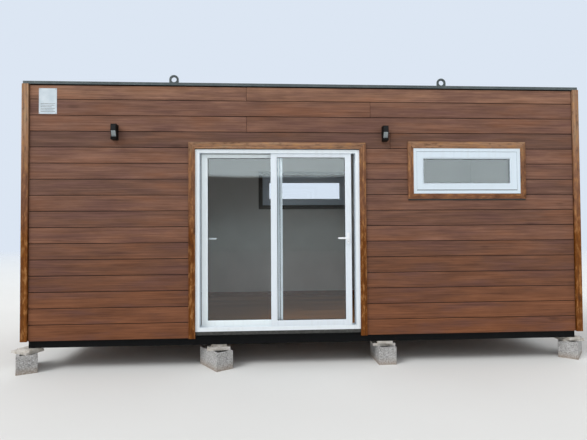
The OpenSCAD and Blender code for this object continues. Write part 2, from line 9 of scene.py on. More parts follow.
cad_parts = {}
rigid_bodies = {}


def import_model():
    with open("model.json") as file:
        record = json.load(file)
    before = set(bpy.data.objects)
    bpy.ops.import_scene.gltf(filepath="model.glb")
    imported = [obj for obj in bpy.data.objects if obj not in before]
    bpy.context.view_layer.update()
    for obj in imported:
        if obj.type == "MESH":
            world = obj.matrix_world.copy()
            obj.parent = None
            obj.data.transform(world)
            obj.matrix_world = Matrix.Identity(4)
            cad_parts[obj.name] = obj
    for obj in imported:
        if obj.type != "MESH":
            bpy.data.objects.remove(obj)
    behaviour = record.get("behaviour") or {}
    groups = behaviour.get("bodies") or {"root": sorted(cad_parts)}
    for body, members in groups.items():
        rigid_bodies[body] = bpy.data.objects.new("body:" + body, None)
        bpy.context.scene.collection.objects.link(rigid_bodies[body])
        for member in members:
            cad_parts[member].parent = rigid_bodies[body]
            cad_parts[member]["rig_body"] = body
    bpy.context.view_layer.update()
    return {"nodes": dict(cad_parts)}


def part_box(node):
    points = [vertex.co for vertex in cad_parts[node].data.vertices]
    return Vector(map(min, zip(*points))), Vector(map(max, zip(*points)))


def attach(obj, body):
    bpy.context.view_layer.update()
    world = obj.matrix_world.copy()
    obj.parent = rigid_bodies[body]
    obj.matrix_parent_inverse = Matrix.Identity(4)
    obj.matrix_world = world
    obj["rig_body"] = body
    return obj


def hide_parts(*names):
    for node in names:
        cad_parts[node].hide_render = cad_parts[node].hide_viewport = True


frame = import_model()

bl_info = {
    "name": "Clad container cabin",
    "version": (1, 0, 0),
    "blender": (4, 5, 0),
    "location": "3D View > Sidebar > Cabin",
    "description": "Boards, trims, glass, metal and concrete of a clad cabin, with its stage",
    "category": "Add Mesh",
}

UP = np.array([0.0, 0.0, 1.0])


def corner_boxes(*nodes):
    """The lowest and the highest corner of some CAD nodes together, as arrays."""
    corners = np.array([[tuple(c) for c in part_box(n)] for n in nodes])
    return corners[:, 0].min(0), corners[:, 1].max(0)


def srgb(red, green, blue):
    """Linear colour of a screen colour that is given from 0 to 255."""
    c = np.array([red, green, blue]) / 255.0
    return tuple(np.where(c <= 0.04045, c / 12.92, ((c + 0.055) / 1.055) ** 2.4))


# Places that several pieces share, in metres, read from the frame
FRONT_LOW, FRONT_HIGH = corner_boxes("front_cladding_left", "front_cladding_right")
TRIM_LOW, TRIM_HIGH = corner_boxes("corner_trims")
DOOR_LOW, DOOR_HIGH = corner_boxes("door_frame")
DOOR_TRIM_LOW, DOOR_TRIM_HIGH = corner_boxes("door_trim")
EDGE_LOW, EDGE_HIGH = corner_boxes("roof_edging")
HALF_L, HALF_W = -FRONT_LOW[0], -FRONT_LOW[1]
TRIM_L, TRIM_W = TRIM_HIGH[0], TRIM_HIGH[1]
CLAD_T = FRONT_HIGH[1] - FRONT_LOW[1]
TRIM_T = TRIM_L - HALF_L
TRIM_LAP = 0.005
STRIP_T, STRIP_BELOW = 0.008, 0.012


def length(name, description, default, low, high):
    """A length in metres that a user may change."""
    return bpy.props.FloatProperty(name=name, description=description, default=default, min=low,
                                   max=high, unit="LENGTH", subtype="DISTANCE")


def shade(name, description, *screen_colour):
    """A colour that a user may change."""
    return bpy.props.FloatVectorProperty(name=name, description=description, size=3,
                                         default=srgb(*screen_colour), min=0.0, max=1.0,
                                         subtype="COLOR")


class CabinSizes(bpy.types.PropertyGroup):
    """Sizes of the boards and the small pieces."""

    board_rows: bpy.props.IntProperty(
        name="Board rows", description="Rows of boards on each wall", default=16, min=4, max=40)
    board_t: length("Board thickness", "Thickness of a cladding board", 0.020, 0.01, 0.035)
    board_gap: length("Board gap", "Open joint between two rows", 0.006, 0.001, 0.015)
    board_chamfer: length("Board chamfer", "Chamfer along the edges of a board",
                          0.004, 0.0, 0.01)
    board_wave: length("Board wave", "How far a board's edges wander", 0.0012, 0.0, 0.004)
    top_gap: length("Top gap", "Shadow gap between the boards and the roof edge",
                    0.007, 0.0, 0.02)
    trim_w: length("Trim width", "Width of a trim board on a corner or at the door",
                   0.070, 0.04, 0.12)
    trim_gap: length("Corner gap", "Shadow gap between the corner trims and the boards",
                     0.003, 0.0, 0.02)
    batten_step: length("Batten spacing", "Distance between two battens", 0.6, 0.3, 1.2)
    lens: bpy.props.FloatProperty(
        name="Camera lens", description="Focal length on a 36 mm wide sensor", default=27.05,
        min=15.0, max=100.0, unit="CAMERA")


class CabinColours(bpy.types.PropertyGroup):
    """Colours of the finishes."""

    board: shade("Boards", "Middle colour of the boards", 122, 88, 73)
    board_dark: shade("Dark boards", "Colour of the darkest boards", 104, 77, 65)
    board_light: shade("Light boards", "Colour of the lightest boards", 136, 99, 81)
    board_low: shade("Low boards", "Colour that the lowest boards turn to", 116, 71, 44)
    board_high: shade("High boards", "Colour that the highest boards turn to", 158, 119, 95)
    trim: shade("Trims", "Colour of the trim boards above", 140, 102, 78)
    trim_low: shade("Low trims", "Colour of the trim boards below", 103, 57, 10)
    door_plastic: shade("Door plastic", "Colour of the door profiles", 238, 246, 252)
    # Painted shade: the windows' white PVC is the door's white made darker.
    window_plastic_painted_shade: shade("Window plastic", "Colour of the window profiles", 214, 226, 236)
    steel: shade("Base steel", "Colour of the base", 9, 9, 10)
    sheet: shade("Roof edge", "Colour of the roof edge and the lugs", 76, 82, 82)
    block: shade("Concrete", "Colour of the blocks", 190, 188, 186)
    floor: shade("Stage floor", "Colour of the stage floor", 226, 226, 224)
    background: shade("Background", "Colour behind the cabin", 220, 230, 243)


def sizes():
    return bpy.context.scene.cabin_sizes


def colours():
    return bpy.context.scene.cabin_colours


# Materials


class Nodes:
    """A node tree: it adds nodes, sets their sockets and links them."""

    def __init__(self, owner, output):
        owner.use_nodes = True
        self.tree = owner.node_tree
        self.tree.nodes.clear()
        self.output = self.tree.nodes.new(output)

    def set(self, socket, value):
        """Links an output to the socket, or writes a number or colour on it."""
        if isinstance(value, bpy.types.NodeSocket):
            self.tree.links.new(value, socket)
        elif socket.type == "RGBA":
            socket.default_value = (*((value,) * 3 if isinstance(value, float) else value), 1.0)
        else:
            socket.default_value = value

    def node(self, kind, settings=None, **inputs):
        n = self.tree.nodes.new(kind)
        for key, value in (settings or {}).items():
            setattr(n, key, value)
        for key, value in inputs.items():
            self.set(n.inputs[key.replace("_", " ")], value)
        return n

    def attribute(self, name, output="Vector"):
        return self.node("ShaderNodeAttribute", {"attribute_name": name}).outputs[output]

    def stretched(self, vector, scale):
        return self.node("ShaderNodeMapping", Vector=vector, Scale=scale).outputs[0]

    def noise(self, vector, scale, detail=3.0, roughness=0.5, distortion=0.0):
        return self.node("ShaderNodeTexNoise", Vector=vector, Scale=scale, Detail=detail,
                         Roughness=roughness, Distortion=distortion).outputs["Fac"]

    def streaks(self, vector, scale, *settings):
        """Noise with its own scale along each axis."""
        return self.noise(self.stretched(vector, scale), 1.0, *settings)

    def cells(self, vector, scale):
        return self.node("ShaderNodeTexVoronoi", Vector=vector, Scale=scale).outputs["Distance"]

    def ramp(self, value, *stops):
        """A colour ramp with its stops as (place, grey level or colour)."""
        n = self.node("ShaderNodeValToRGB", Fac=value)
        elements = n.color_ramp.elements
        while len(elements) < len(stops):
            elements.new(1.0)
        for element, (place, colour) in zip(elements, stops):
            colour = (colour,) * 3 if isinstance(colour, (int, float)) else tuple(colour)
            element.position = place
            element.color = (*colour, 1.0)
        return n.outputs["Color"]

    def mix(self, amount, first, second, blend="MIX"):
        n = self.node("ShaderNodeMix", {"data_type": "RGBA", "blend_type": blend})
        for index, value in ((0, amount), (6, first), (7, second)):
            self.set(n.inputs[index], value)
        return n.outputs[2]

    def maths(self, operation, first, second, clamp=False):
        n = self.node("ShaderNodeMath", {"operation": operation, "use_clamp": clamp})
        self.set(n.inputs[0], first)
        self.set(n.inputs[1], second)
        return n.outputs[0]

    def times(self, first, second):
        return self.maths("MULTIPLY", first, second)

    def axis(self, vector, letter):
        return self.node("ShaderNodeSeparateXYZ", Vector=vector).outputs[letter]

    def bump(self, height, distance):
        return self.node("ShaderNodeBump", Height=height, Distance=distance).outputs[0]

    def blend(self, amount, first, second):
        """Mixes two shaders."""
        n = self.node("ShaderNodeMixShader", Fac=amount)
        self.set(n.inputs[1], first)
        self.set(n.inputs[2], second)
        return n.outputs[0]

    def end(self, shader):
        self.set(self.output.inputs[0], shader)


class Finish(Nodes):
    """One procedural material.

    place is the object's own coordinates, and colour is what the steps so far have made.
    """

    def __init__(self, name, colour=None):
        self.material = bpy.data.materials.new(name)
        super().__init__(self.material, "ShaderNodeOutputMaterial")
        self.place = self.node("ShaderNodeTexCoord").outputs["Object"]
        self.colour = colour

    def by_height(self, low, high):
        """0 at the first height and 1 at the second, in metres, and clamped beyond them."""
        height = self.maths("SUBTRACT", self.axis(self.place, "Z"), low)
        return self.maths("DIVIDE", height, high - low, clamp=True)

    def between(self, value, low, high):
        """A number that goes from low to high with the value."""
        return self.ramp(value, (0.3, low), (0.8, high))

    def darker(self, *factors):
        return self.mix(1.0, self.colour, factors, "MULTIPLY")

    def shades(self, value, *stops):
        """Makes the colour a ramp of screen colours."""
        self.colour = self.ramp(value, *((at, srgb(*screen)) for at, screen in stops))

    def turn(self, amount, colour):
        self.colour = self.mix(amount, self.colour, colour)

    def stain(self, screen, value, *stops):
        """Turns to a screen colour as far as the value, or the ramp of the value, says."""
        self.turn(self.ramp(value, *stops) if stops else value, srgb(*screen))

    def vary(self, value, low, high):
        """Multiplies by low where the value is low, up to high where it is high."""
        factor = self.ramp(value, (0.3, low), (0.7, high))
        self.colour = self.mix(1.0, self.colour, factor, "MULTIPLY")

    def surface(self, roughness, bump, **inputs):
        """Ends the material with a Principled shader, bumped by (height, distance) or not."""
        if bump:
            inputs["Normal"] = self.bump(*bump)
        self.end(self.node("ShaderNodeBsdfPrincipled", Base_Color=self.colour,
                           Roughness=roughness, **inputs).outputs[0])
        return self.material


class Wood(Finish):
    """Timber whose boards carry their own place in the grain and their own tone.

    Fine fibres are streaks along the grain, and slow rings are wider ones bent by noise.
    """

    def __init__(self, name, fine, ring):
        super().__init__(name)
        self.grain = self.attribute("grain")
        self.tone = self.attribute("tone", "Fac")
        self.fibres = self.streaks(self.grain, (2.2, fine, fine), 5.0, 0.62)
        self.rings = self.streaks(self.grain, (0.9, ring, ring), 3.0, 0.55, 0.8)

    def knots(self, screen, scale, size, amount):
        """Dark knots at scattered points: round spots in cells stretched along the grain."""
        spots = self.cells(self.stretched(self.grain, (scale, scale * 3.2, scale * 3.2)), 1.0)
        spots = self.ramp(spots, (0.0, 1.0), (size * 0.5, 0.75), (size, 0.0))
        self.stain(screen, self.times(spots, amount))

    def timber(self, rough, smooth, specular):
        """Ends the material, rough and low between the fibres and smooth and high on them."""
        height = self.maths("ADD", self.fibres, self.times(self.rings, 0.5))
        return self.surface(self.ramp(self.fibres, (0.2, rough), (0.8, smooth)),
                            (height, 0.0014), Specular_IOR_Level=specular)


FINISHES = {}


def finish(make):
    """A material by the name of the function that makes it, made once."""
    if make.__name__ not in FINISHES:
        FINISHES[make.__name__] = make()
    return FINISHES[make.__name__]


def grained(name, scale, detail, dark, light, roughness, bump=0.0, at=(0.3, 0.7), **settings):
    """Two screen colours by the two places of a noise, which also bumps the surface.

    scale is one number, or one for each axis.
    """
    f = Finish(name)
    grain = f.streaks(f.place, tuple(np.broadcast_to(scale, 3)), detail)
    f.shades(grain, (at[0], dark), (at[1], light))
    return f.surface(roughness, bump and (grain, bump), **settings)


def board_wood():
    """Brown stained boards: redder and deeper near the ground, paler under the roof edge.

    A tone below zero is the unlit timber at the bottom of the open joints.
    """
    c = colours()
    f = Wood("oiled_boards", 95.0, 30.0)
    f.colour = f.ramp(f.tone, (0.0, c.board_dark), (0.5, c.board), (1.0, c.board_light))
    f.turn(f.by_height(1.9, 0.2), c.board_low)
    f.turn(f.times(f.by_height(2.86, 3.0), 0.6), c.board_high)
    blotch = f.streaks(f.grain, (2.4, 11.0, 11.0), 4.0, 0.6)
    f.vary(blotch, (0.82, 0.80, 0.79), (1.19, 1.20, 1.21))
    patch = f.streaks(f.grain, (1.3, 7.0, 7.0), 4.0, 0.6)
    f.stain((142, 90, 58), patch, (0.5, 0.0), (0.68, 0.34))
    f.stain((100, 70, 66), patch, (0.34, 0.5), (0.5, 0.0))
    f.vary(f.rings, (0.84, 0.82, 0.81), (1.13, 1.13, 1.12))
    f.vary(f.fibres, (0.68, 0.66, 0.65), (1.18, 1.19, 1.20))
    f.knots((52, 32, 24), 1.3, 0.11, 0.4)
    # Near black where the tone is below zero: painted shade inside the open joints.
    f.stain((14, 10, 8), f.maths("LESS_THAN", f.tone, -0.5))
    return f.timber(0.78, 0.6, 0.2)


def trim_wood():
    """Softer timber: weathered pale above, yellow brown below, with streaks and knots."""
    c = colours()
    f = Wood("oiled_trims", 120.0, 38.0)
    f.colour = f.mix(f.by_height(2.65, 1.45), c.trim, c.trim_low)
    f.vary(f.tone, (0.92, 0.84, 0.70), (1.30, 1.32, 1.34))
    top = f.ramp(f.tone, (0.5, 0.0), (0.7, 0.45))
    f.stain((186, 156, 130), f.times(top, f.by_height(1.8, 2.6)))
    pale = f.ramp(f.streaks(f.grain, (4.0, 24.0, 24.0), 4.0, 0.6), (0.5, 0.0), (0.7, 0.45))
    f.stain((164, 148, 120), f.times(pale, f.by_height(1.5, 2.6)))
    patch = f.ramp(f.streaks(f.grain, (2.2, 12.0, 12.0), 3.0, 0.6), (0.38, 0.0), (0.54, 0.7))
    patch = f.times(patch, f.by_height(1.4, 1.8))
    f.stain((130, 90, 70), f.times(patch, f.by_height(2.5, 2.25)))
    worn = f.streaks(f.grain, (9.0, 30.0, 30.0), 6.0, 0.7)
    f.stain((194, 144, 92), worn, (0.51, 0.0), (0.62, 0.5))
    f.stain((64, 40, 26), worn, (0.36, 0.5), (0.46, 0.0))
    f.vary(f.rings, (0.72, 0.66, 0.60), (1.18, 1.18, 1.15))
    f.vary(f.fibres, (0.62, 0.58, 0.56), (1.20, 1.21, 1.22))
    f.knots((54, 30, 16), 2.6, 0.16, 0.7)
    return f.timber(0.72, 0.55, 0.16)


def dark_wood():
    return stained_wood("stained_casings", (36, 25, 18), (62, 43, 30))


def red_wood():
    return stained_wood("stained_skirting", (84, 44, 26), (116, 66, 40))


def stained_wood(name, dark, light):
    """Stained boards with grain along X."""
    f = Finish(name)
    grain = f.noise(f.stretched(f.place, (3.0, 9.0, 9.0)), 3.0, 5.0, 0.6, 0.4)
    f.shades(grain, (0.3, dark), (0.7, light))
    return f.surface(0.45, (grain, 0.0006))


def batten_wood():
    return grained("sawn_battens", (40.0, 40.0, 3.0), 4.0, (92, 76, 56), (138, 116, 86), 0.8,
                   0.001)


def floor_boards():
    """Planks along X: a brick pattern of long rows picks each plank's tone."""
    planks = {"Mortar_Size": 0.0015, "Brick_Width": 1.3, "Row_Height": 0.19, "Scale": 1.0}
    f = Finish("floor_planks")
    f.colour = f.node("ShaderNodeTexBrick", {"offset": 0.37}, Vector=f.place,
                      Color1=srgb(122, 75, 33), Color2=srgb(147, 96, 50),
                      Mortar=srgb(40, 30, 22), **planks).outputs["Color"]
    grain = f.streaks(f.place, (2.0, 60.0, 60.0), 4.0, 0.6)
    f.stain((66, 52, 40), grain, (0.35, 0.5), (0.6, 0.0))
    return f.surface(0.6, (grain, 0.0004), Specular_IOR_Level=0.15)


def panel_white():
    f = Finish("coated_panel")
    f.shades(f.noise(f.place, 1.4), (0.3, (196, 194, 188)), (0.7, (212, 210, 204)))
    return f.surface(0.5, (f.noise(f.place, 160.0, 2.0), 0.0002))


def door_plastic():
    return plastic("white_door_profiles", colours().door_plastic)


# Painted light: the same white PVC as the door, made brighter to undo the shade of the inner
# track's recess.
def left_sash_plastic_painted_light():
    return plastic("white_left_sash_profiles", srgb(244, 252, 255))


# Painted shade: the same white PVC as the door, made darker.
def right_sash_plastic_painted_shade():
    return plastic("white_right_sash_profiles", srgb(228, 236, 244))


# Painted shade: the same white PVC as the door, made darker.
def window_plastic_painted_shade():
    return plastic("white_window_profiles", colours().window_plastic_painted_shade)


def plastic(name, white):
    """Smooth white profiles, a little dusty low down and in streaks."""
    f = Finish(name, white)
    streak = f.streaks(f.place, (26.0, 26.0, 2.0), 4.0, 0.6)
    low = f.maths("SUBTRACT", 0.62, f.times(f.axis(f.place, "Z"), 0.9), clamp=True)
    dust = f.maths("ADD", f.ramp(streak, (0.5, 0.0), (0.85, 0.14)), f.times(low, 0.4))
    f.stain((176, 168, 156), dust)
    return f.surface(f.between(streak, 0.26, 0.42), (f.noise(f.place, 220.0, 2.0), 0.00012),
                     Coat_Weight=0.15)


def rubber_black():
    return grained("black_seals", 400.0, 2.0, (22, 23, 24), (38, 39, 40), 0.62, 0.0002)


def brush_grey():
    """Pile of a grey brush seal."""
    return grained("grey_brush_seal", (900.0, 900.0, 120.0), 3.0, (150, 158, 166),
                   (190, 198, 206), 0.9, 0.0004)


def black_steel():
    """Black paint with dust that settled on it, scuffs and a little rust."""
    f = Finish("black_painted_steel", colours().steel)
    dust = f.streaks(f.place, (5.0, 5.0, 14.0), 5.0, 0.65)
    f.stain((46, 42, 38), dust, (0.56, 0.0), (0.84, 0.25))
    f.stain((66, 38, 26), f.noise(f.place, 13.0, 6.0, 0.7), (0.68, 0.0), (0.76, 0.7))
    return f.surface(f.between(dust, 0.5, 0.8), (f.noise(f.place, 90.0), 0.0006),
                     Specular_IOR_Level=0.1)


def coated_sheet():
    """Grey coated sheet with faint run marks and dull spots."""
    f = Finish("grey_coated_sheet", colours().sheet)
    runs = f.streaks(f.place, (9.0, 9.0, 1.5), 5.0, 0.6)
    spots = f.noise(f.place, 60.0)
    f.turn(f.ramp(runs, (0.35, 0.8), (0.65, 0.0)), f.darker(0.7, 0.72, 0.74))
    f.stain((138, 142, 140), spots, (0.6, 0.0), (0.8, 0.35))
    return f.surface(f.between(runs, 0.5, 0.34), (spots, 0.0002), Metallic=0.35)


def dark_sheet():
    """Dark coated strips with a little dust."""
    return grained("dark_coated_sheet", 30.0, 4.0, (54, 54, 52), (76, 75, 72), 0.6, 0.0002,
                   (0.35, 0.7), Specular_IOR_Level=0.25)


def roof_metal():
    f = Finish("roof_sheet_metal")
    dust = f.noise(f.place, 2.6, 6.0, 0.65)
    f.shades(dust, (0.35, (128, 134, 136)), (0.62, (118, 120, 116)), (0.8, (96, 92, 82)))
    return f.surface(f.between(dust, 0.4, 0.75), (f.noise(f.place, 30.0), 0.0006),
                     Metallic=0.3)


def concrete():
    """Grey cement with sand grains, pores and stains that climb from the ground."""
    f = Finish("cast_concrete", colours().block)
    cloud = f.noise(f.place, 9.0, 6.0, 0.65)
    sand = f.noise(f.place, 180.0, 3.0, 0.6)
    pores = f.ramp(f.cells(f.place, 120.0), (0.0, 1.0), (0.22, 0.0))
    dark = f.darker(0.66, 0.65, 0.63)
    f.turn(f.ramp(cloud, (0.36, 0.8), (0.62, 0.0)), dark)
    f.turn(f.ramp(sand, (0.42, 0.5), (0.6, 0.0)), dark)
    grit = f.noise(f.place, 70.0, 4.0, 0.75)
    f.stain((112, 114, 118), grit, (0.38, 0.75), (0.5, 0.0))
    f.stain((218, 220, 224), grit, (0.52, 0.0), (0.64, 0.7))
    # Darker in the pores: painted shade in them.
    f.stain((70, 68, 64), f.times(pores, 0.55))
    low = f.maths("SUBTRACT", 0.55, f.times(f.axis(f.place, "Z"), 7.0), clamp=True)
    f.stain((150, 128, 104), low)
    height = f.maths("SUBTRACT", f.maths("ADD", sand, cloud), f.times(pores, 0.6))
    return f.surface(0.92, (height, 0.003))


def plate_stone():
    """Pale offcuts of tile and board under the base."""
    f = Finish("levelling_offcuts")
    f.shades(f.noise(f.place, 16.0, 5.0, 0.6), (0.34, (176, 168, 156)), (0.6, (206, 202, 196)),
             (0.8, (150, 132, 112)))
    return f.surface(0.85, (f.noise(f.place, 160.0), 0.001))


def window_glass():
    """Clear sealed glass: it mirrors and passes light, and lamps reach what is behind it."""
    f = Finish("sealed_glass")
    film = f.streaks(f.place, (1.3, 1.3, 0.8), 2.0)
    glass = f.node("ShaderNodeBsdfPrincipled", Base_Color=srgb(252, 254, 255), IOR=1.5,
                   Transmission_Weight=1.0, Roughness=0.0, Normal=f.bump(film, 0.0008))
    clear = f.node("ShaderNodeBsdfTransparent", Color=srgb(250, 252, 252))
    lamp_ray = f.node("ShaderNodeLightPath").outputs["Is Shadow Ray"]
    f.end(f.blend(lamp_ray, glass.outputs[0], clear.outputs[0]))
    return f.material


def white_lacquer():
    """White lacquered levers and plates, a little worn."""
    f = Finish("white_lacquer")
    wear = f.noise(f.place, 90.0, 4.0)
    f.shades(wear, (0.3, (238, 242, 246)), (0.62, (247, 250, 253)), (0.8, (212, 216, 220)))
    return f.surface(f.between(wear, 0.25, 0.45), (wear, 0.00005), Coat_Weight=0.3)


def roller_nylon():
    return grained("nylon_rollers", 300.0, 2.0, (196, 196, 190), (214, 214, 208), 0.4, 0.0001)


def lamp_case():
    return grained("anthracite_case", 520.0, 3.0, (14, 13, 12), (28, 26, 24), 0.5, 0.0003,
                   (0.35, 0.7), Specular_IOR_Level=0.06)


def lamp_lens():
    return grained("frosted_lens", (260.0, 6.0, 6.0), 2.0, (120, 128, 130), (154, 163, 165),
                   0.22, 0.0006, Coat_Weight=0.4)


def lamp_screen():
    f = Finish("dark_lamp_screen")
    grid = f.cells(f.place, 140.0)
    f.shades(grid, (0.2, (12, 13, 15)), (0.7, (30, 28, 28)))
    return f.surface(0.3, (grid, 0.0002), Specular_IOR_Level=0.14)


def plate_white():
    """White sheet, faded in patches."""
    return grained("white_sign_sheet", 11.0, 4.0, (194, 206, 214), (212, 221, 228), 0.4,
                   0.0006, (0.35, 0.65))


def rule_grey():
    """Faded grey rules across the foot of the sheet."""
    return grained("faded_rules", 140.0, 3.0, (120, 126, 130), (168, 174, 178), 0.5,
                   at=(0.35, 0.65))


def zinc_screws():
    return grained("zinc_screw_heads", 240.0, 3.0, (96, 92, 86), (150, 148, 142), 0.45,
                   Metallic=0.8)


# Meshes


def riding(name, mesh, material, body):
    """An object of the mesh that has the material and rides on a body."""
    mesh.materials.clear()
    mesh.materials.append(finish(material))
    piece = bpy.data.objects.new(name, mesh)
    bpy.context.scene.collection.objects.link(piece)
    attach(piece, body)
    return piece


def new_piece(name, verts, faces, material, slot, body="cabin", grain=None, tone=None,
              smooth=False):
    """A piece from points and faces, with its grain place and tone for each point."""
    mesh = bpy.data.meshes.new(name)
    mesh.from_pydata(np.asarray(verts).reshape(-1, 3).tolist(), [], faces)
    for label, kind, values in (("grain", "FLOAT_VECTOR", grain), ("tone", "FLOAT", tone)):
        if values is not None:
            field = mesh.attributes.new(label, kind, "POINT")
            key = "vector" if kind == "FLOAT_VECTOR" else "value"
            field.data.foreach_set(key, np.asarray(values, np.float32).ravel())
    work = bmesh.new()
    work.from_mesh(mesh)
    bmesh.ops.recalc_face_normals(work, faces=work.faces)
    work.to_mesh(mesh)
    work.free()
    mesh.polygons.foreach_set("use_smooth", [smooth] * len(mesh.polygons))
    mesh.update()
    return riding(name, mesh, material, body)


def box_piece(name, spans, material, slot, body="cabin"):
    """A piece of boxes, each given by its lowest and its highest corner."""
    new_piece(name, *boxes(*zip(*spans)), material, slot, body)


def tube_faces(count, rings, points):
    """Quads between the rings of many tubes of one kind, and a flat cap at both ends."""
    tube = np.arange(count)[:, None, None] * rings * points
    ring = np.arange(rings - 1)[None, :, None] * points
    here = np.arange(points)[None, None, :]
    beside = (here + 1) % points
    quads = np.stack([tube + ring + here, tube + ring + beside,
                      tube + ring + points + beside, tube + ring + points + here], -1)
    order = np.arange(points)
    first = np.arange(count)[:, None] * rings * points
    return (quads.reshape(-1, 4).tolist() + (first + order[::-1]).tolist()
            + (first + (rings - 1) * points + order).tolist())


class Timber:
    """Collects boards that run straight, and makes one mesh of them.

    A board's section is a rectangle whose front edges are rounded by two flats each.
    It is carried from one end to the other in even steps, and shrinks by the chamfer at both
    ends. Each step may shift sideways by a slow sum of two sines, and an end may be cut at a
    slant across the board.
    """

    STEPS = 12

    def __init__(self, seed):
        self.random = np.random.default_rng(seed)
        self.verts, self.grain, self.tone = [], [], []

    def add(self, start, along, across, out, length, width, depth, chamfer=0.002, wave=0.0,
            slant=(0.0, 0.0), bare=(False, False), tone=None, shift=None):
        """One board, whose low back corner is start.

        slant moves each end along by that much per width, and a bare end has no chamfer.
        tone and shift, which moves the board in its grain, are drawn if they aren't given.
        """
        tone = self.random.uniform(0.0, 1.0) if tone is None else tone
        shift = self.random.uniform(-40.0, 40.0, 3) if shift is None else np.asarray(shift)
        c = chamfer
        section = np.array([
            [0, 0], [width, 0], [width, depth - c], [width - 0.3 * c, depth - 0.3 * c],
            [width - c, depth], [width * 0.66, depth], [width * 0.34, depth],
            [c, depth], [0.3 * c, depth - 0.3 * c], [0, depth - c]])
        middle = np.array([width / 2, depth / 2])
        cut = np.where(bare, 0.0, c)
        t = np.concatenate([[0.0], np.linspace(c, length - c, self.STEPS), [length]])
        shrink = np.ones_like(t)
        shrink[[0, -1]] = 1 - 2 * cut / width
        ring = middle + (section - middle) * shrink[:, None, None]
        ring[[0, -1], :, 1] = np.minimum(ring[[0, -1], :, 1], depth - cut[:, None])
        ring[[0, -1], :, 1] = np.maximum(ring[[0, -1], :, 1], 0.0)
        a, b = self.random.uniform(0, 2 * math.pi, 2)
        sway = wave * (np.sin(1.9 * t + a) + 0.6 * np.sin(4.7 * t + b)) / 1.6
        lean = slant[0] + (slant[1] - slant[0]) * t / length
        place = t[:, None] + lean[:, None] * ring[:, :, 0]
        side = ring[:, :, 0] + sway[:, None]
        axes = [np.asarray(v, float) for v in (along, across, out)]
        points = (np.asarray(start, float) + place[..., None] * axes[0]
                  + side[..., None] * axes[1] + ring[:, :, 1:] * axes[2])
        field = np.stack([place, ring[:, :, 0], ring[:, :, 1]], -1) + shift
        self.verts.append(points)
        self.grain.append(field)
        self.tone.append(np.full(points.shape[:2], tone))

    def stand_for(self, name, material, slot, *nodes):
        """One piece of all the boards, which rides on the cabin in place of CAD nodes."""
        verts = np.array(self.verts)
        faces = tube_faces(len(verts), verts.shape[1], verts.shape[2])
        piece = new_piece(name, verts, faces, material, slot, "cabin", self.grain, self.tone)
        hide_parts(*nodes)


def bevelled(node, name, width, material, segments=2):
    """A copy of a CAD node, merged and with its edges rounded, that stands for it."""
    mesh = frame["nodes"][node].data.copy()
    mesh.name = name
    work = bmesh.new()
    work.from_mesh(mesh)
    bmesh.ops.remove_doubles(work, verts=work.verts, dist=1e-5)
    bmesh.ops.dissolve_limit(work, angle_limit=math.radians(0.5), verts=work.verts,
                             edges=work.edges)
    work.to_mesh(mesh)
    work.free()
    piece = riding(name, mesh, material, frame["nodes"][node]["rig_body"])
    edge = piece.modifiers.new("rounded edges", "BEVEL")
    edge.width, edge.segments, edge.limit_method = width, segments, "ANGLE"
    edge.angle_limit = math.radians(28)
    edge.use_clamp_overlap = True
    piece.modifiers.new("merged points", "WELD").merge_threshold = 1e-6
    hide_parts(node)


def dress(material, *nodes):
    """Gives CAD nodes that stay their finish."""
    for node in nodes:
        mesh = frame["nodes"][node].data
        mesh.materials.clear()
        mesh.materials.append(finish(material))


def domes(places, normal, radius, height):
    """Screw heads round each place: rings of a flat dome, closed at the wall and the top.

    A ring stands out by the height times the sine of an even angle and is as wide as the
    radius times its cosine.
    """
    rings, points = 3, 10
    places, normal = np.asarray(places, float), np.asarray(normal, float)
    side = np.cross(normal, (1.0, 0.0, 0.0) if abs(normal[2]) > 0.9 else UP)
    spokes = np.linspace(0, 2 * math.pi, points, endpoint=False)[:, None]
    spokes = np.cos(spokes) * side + np.sin(spokes) * np.cross(normal, side)
    lift = np.linspace(0, math.pi / 2, rings + 1)[:-1, None, None]
    dome = height * np.sin(lift) * normal + radius * np.cos(lift) * spokes
    return places[:, None, None] + dome, tube_faces(len(places), rings, points)


def boxes(lows, highs):
    """Boxes between lower and upper corners, as points and faces."""
    lows, highs = np.asarray(lows, float), np.asarray(highs, float)
    pick = np.array([[0, 0, 0], [1, 0, 0], [1, 1, 0], [0, 1, 0],
                     [0, 0, 1], [1, 0, 1], [1, 1, 1], [0, 1, 1]])
    verts = np.where(pick[None], highs[:, None], lows[:, None])
    sides = np.array([[0, 3, 2, 1], [4, 5, 6, 7], [0, 1, 5, 4],
                      [1, 2, 6, 5], [2, 3, 7, 6], [3, 0, 4, 7]])
    faces = (np.arange(len(lows))[:, None, None] * 8 + sides).reshape(-1, 4)
    return verts, faces.tolist()


def loops(corners, inward, outward, profile):
    """Mitred rings: a profile is carried round the four corners of each rectangle.

    A profile point (u, v) lies u towards the inside of the rectangle and v out of its plane.
    corners is one array of rings, corners and coordinates. inward holds for each corner the
    step that moves both of its sides inwards by one.
    """
    profile = np.asarray(profile, float)
    verts = (corners[:, :, None] + profile[None, None, :, :1] * inward[:, :, None]
             + profile[None, None, :, 1:] * outward[:, None, None])
    count, points = len(corners), len(profile)
    ring = np.arange(count)[:, None, None] * 4 * points
    here, beside = np.arange(4)[None, :, None] * points, np.arange(1, 5)[None, :, None] % 4 * points
    p, q = np.arange(points)[None, None], np.arange(1, points + 1)[None, None] % points
    faces = np.stack([ring + here + p, ring + beside + p, ring + beside + q, ring + here + q], -1)
    return verts, faces.reshape(-1, 4).tolist()


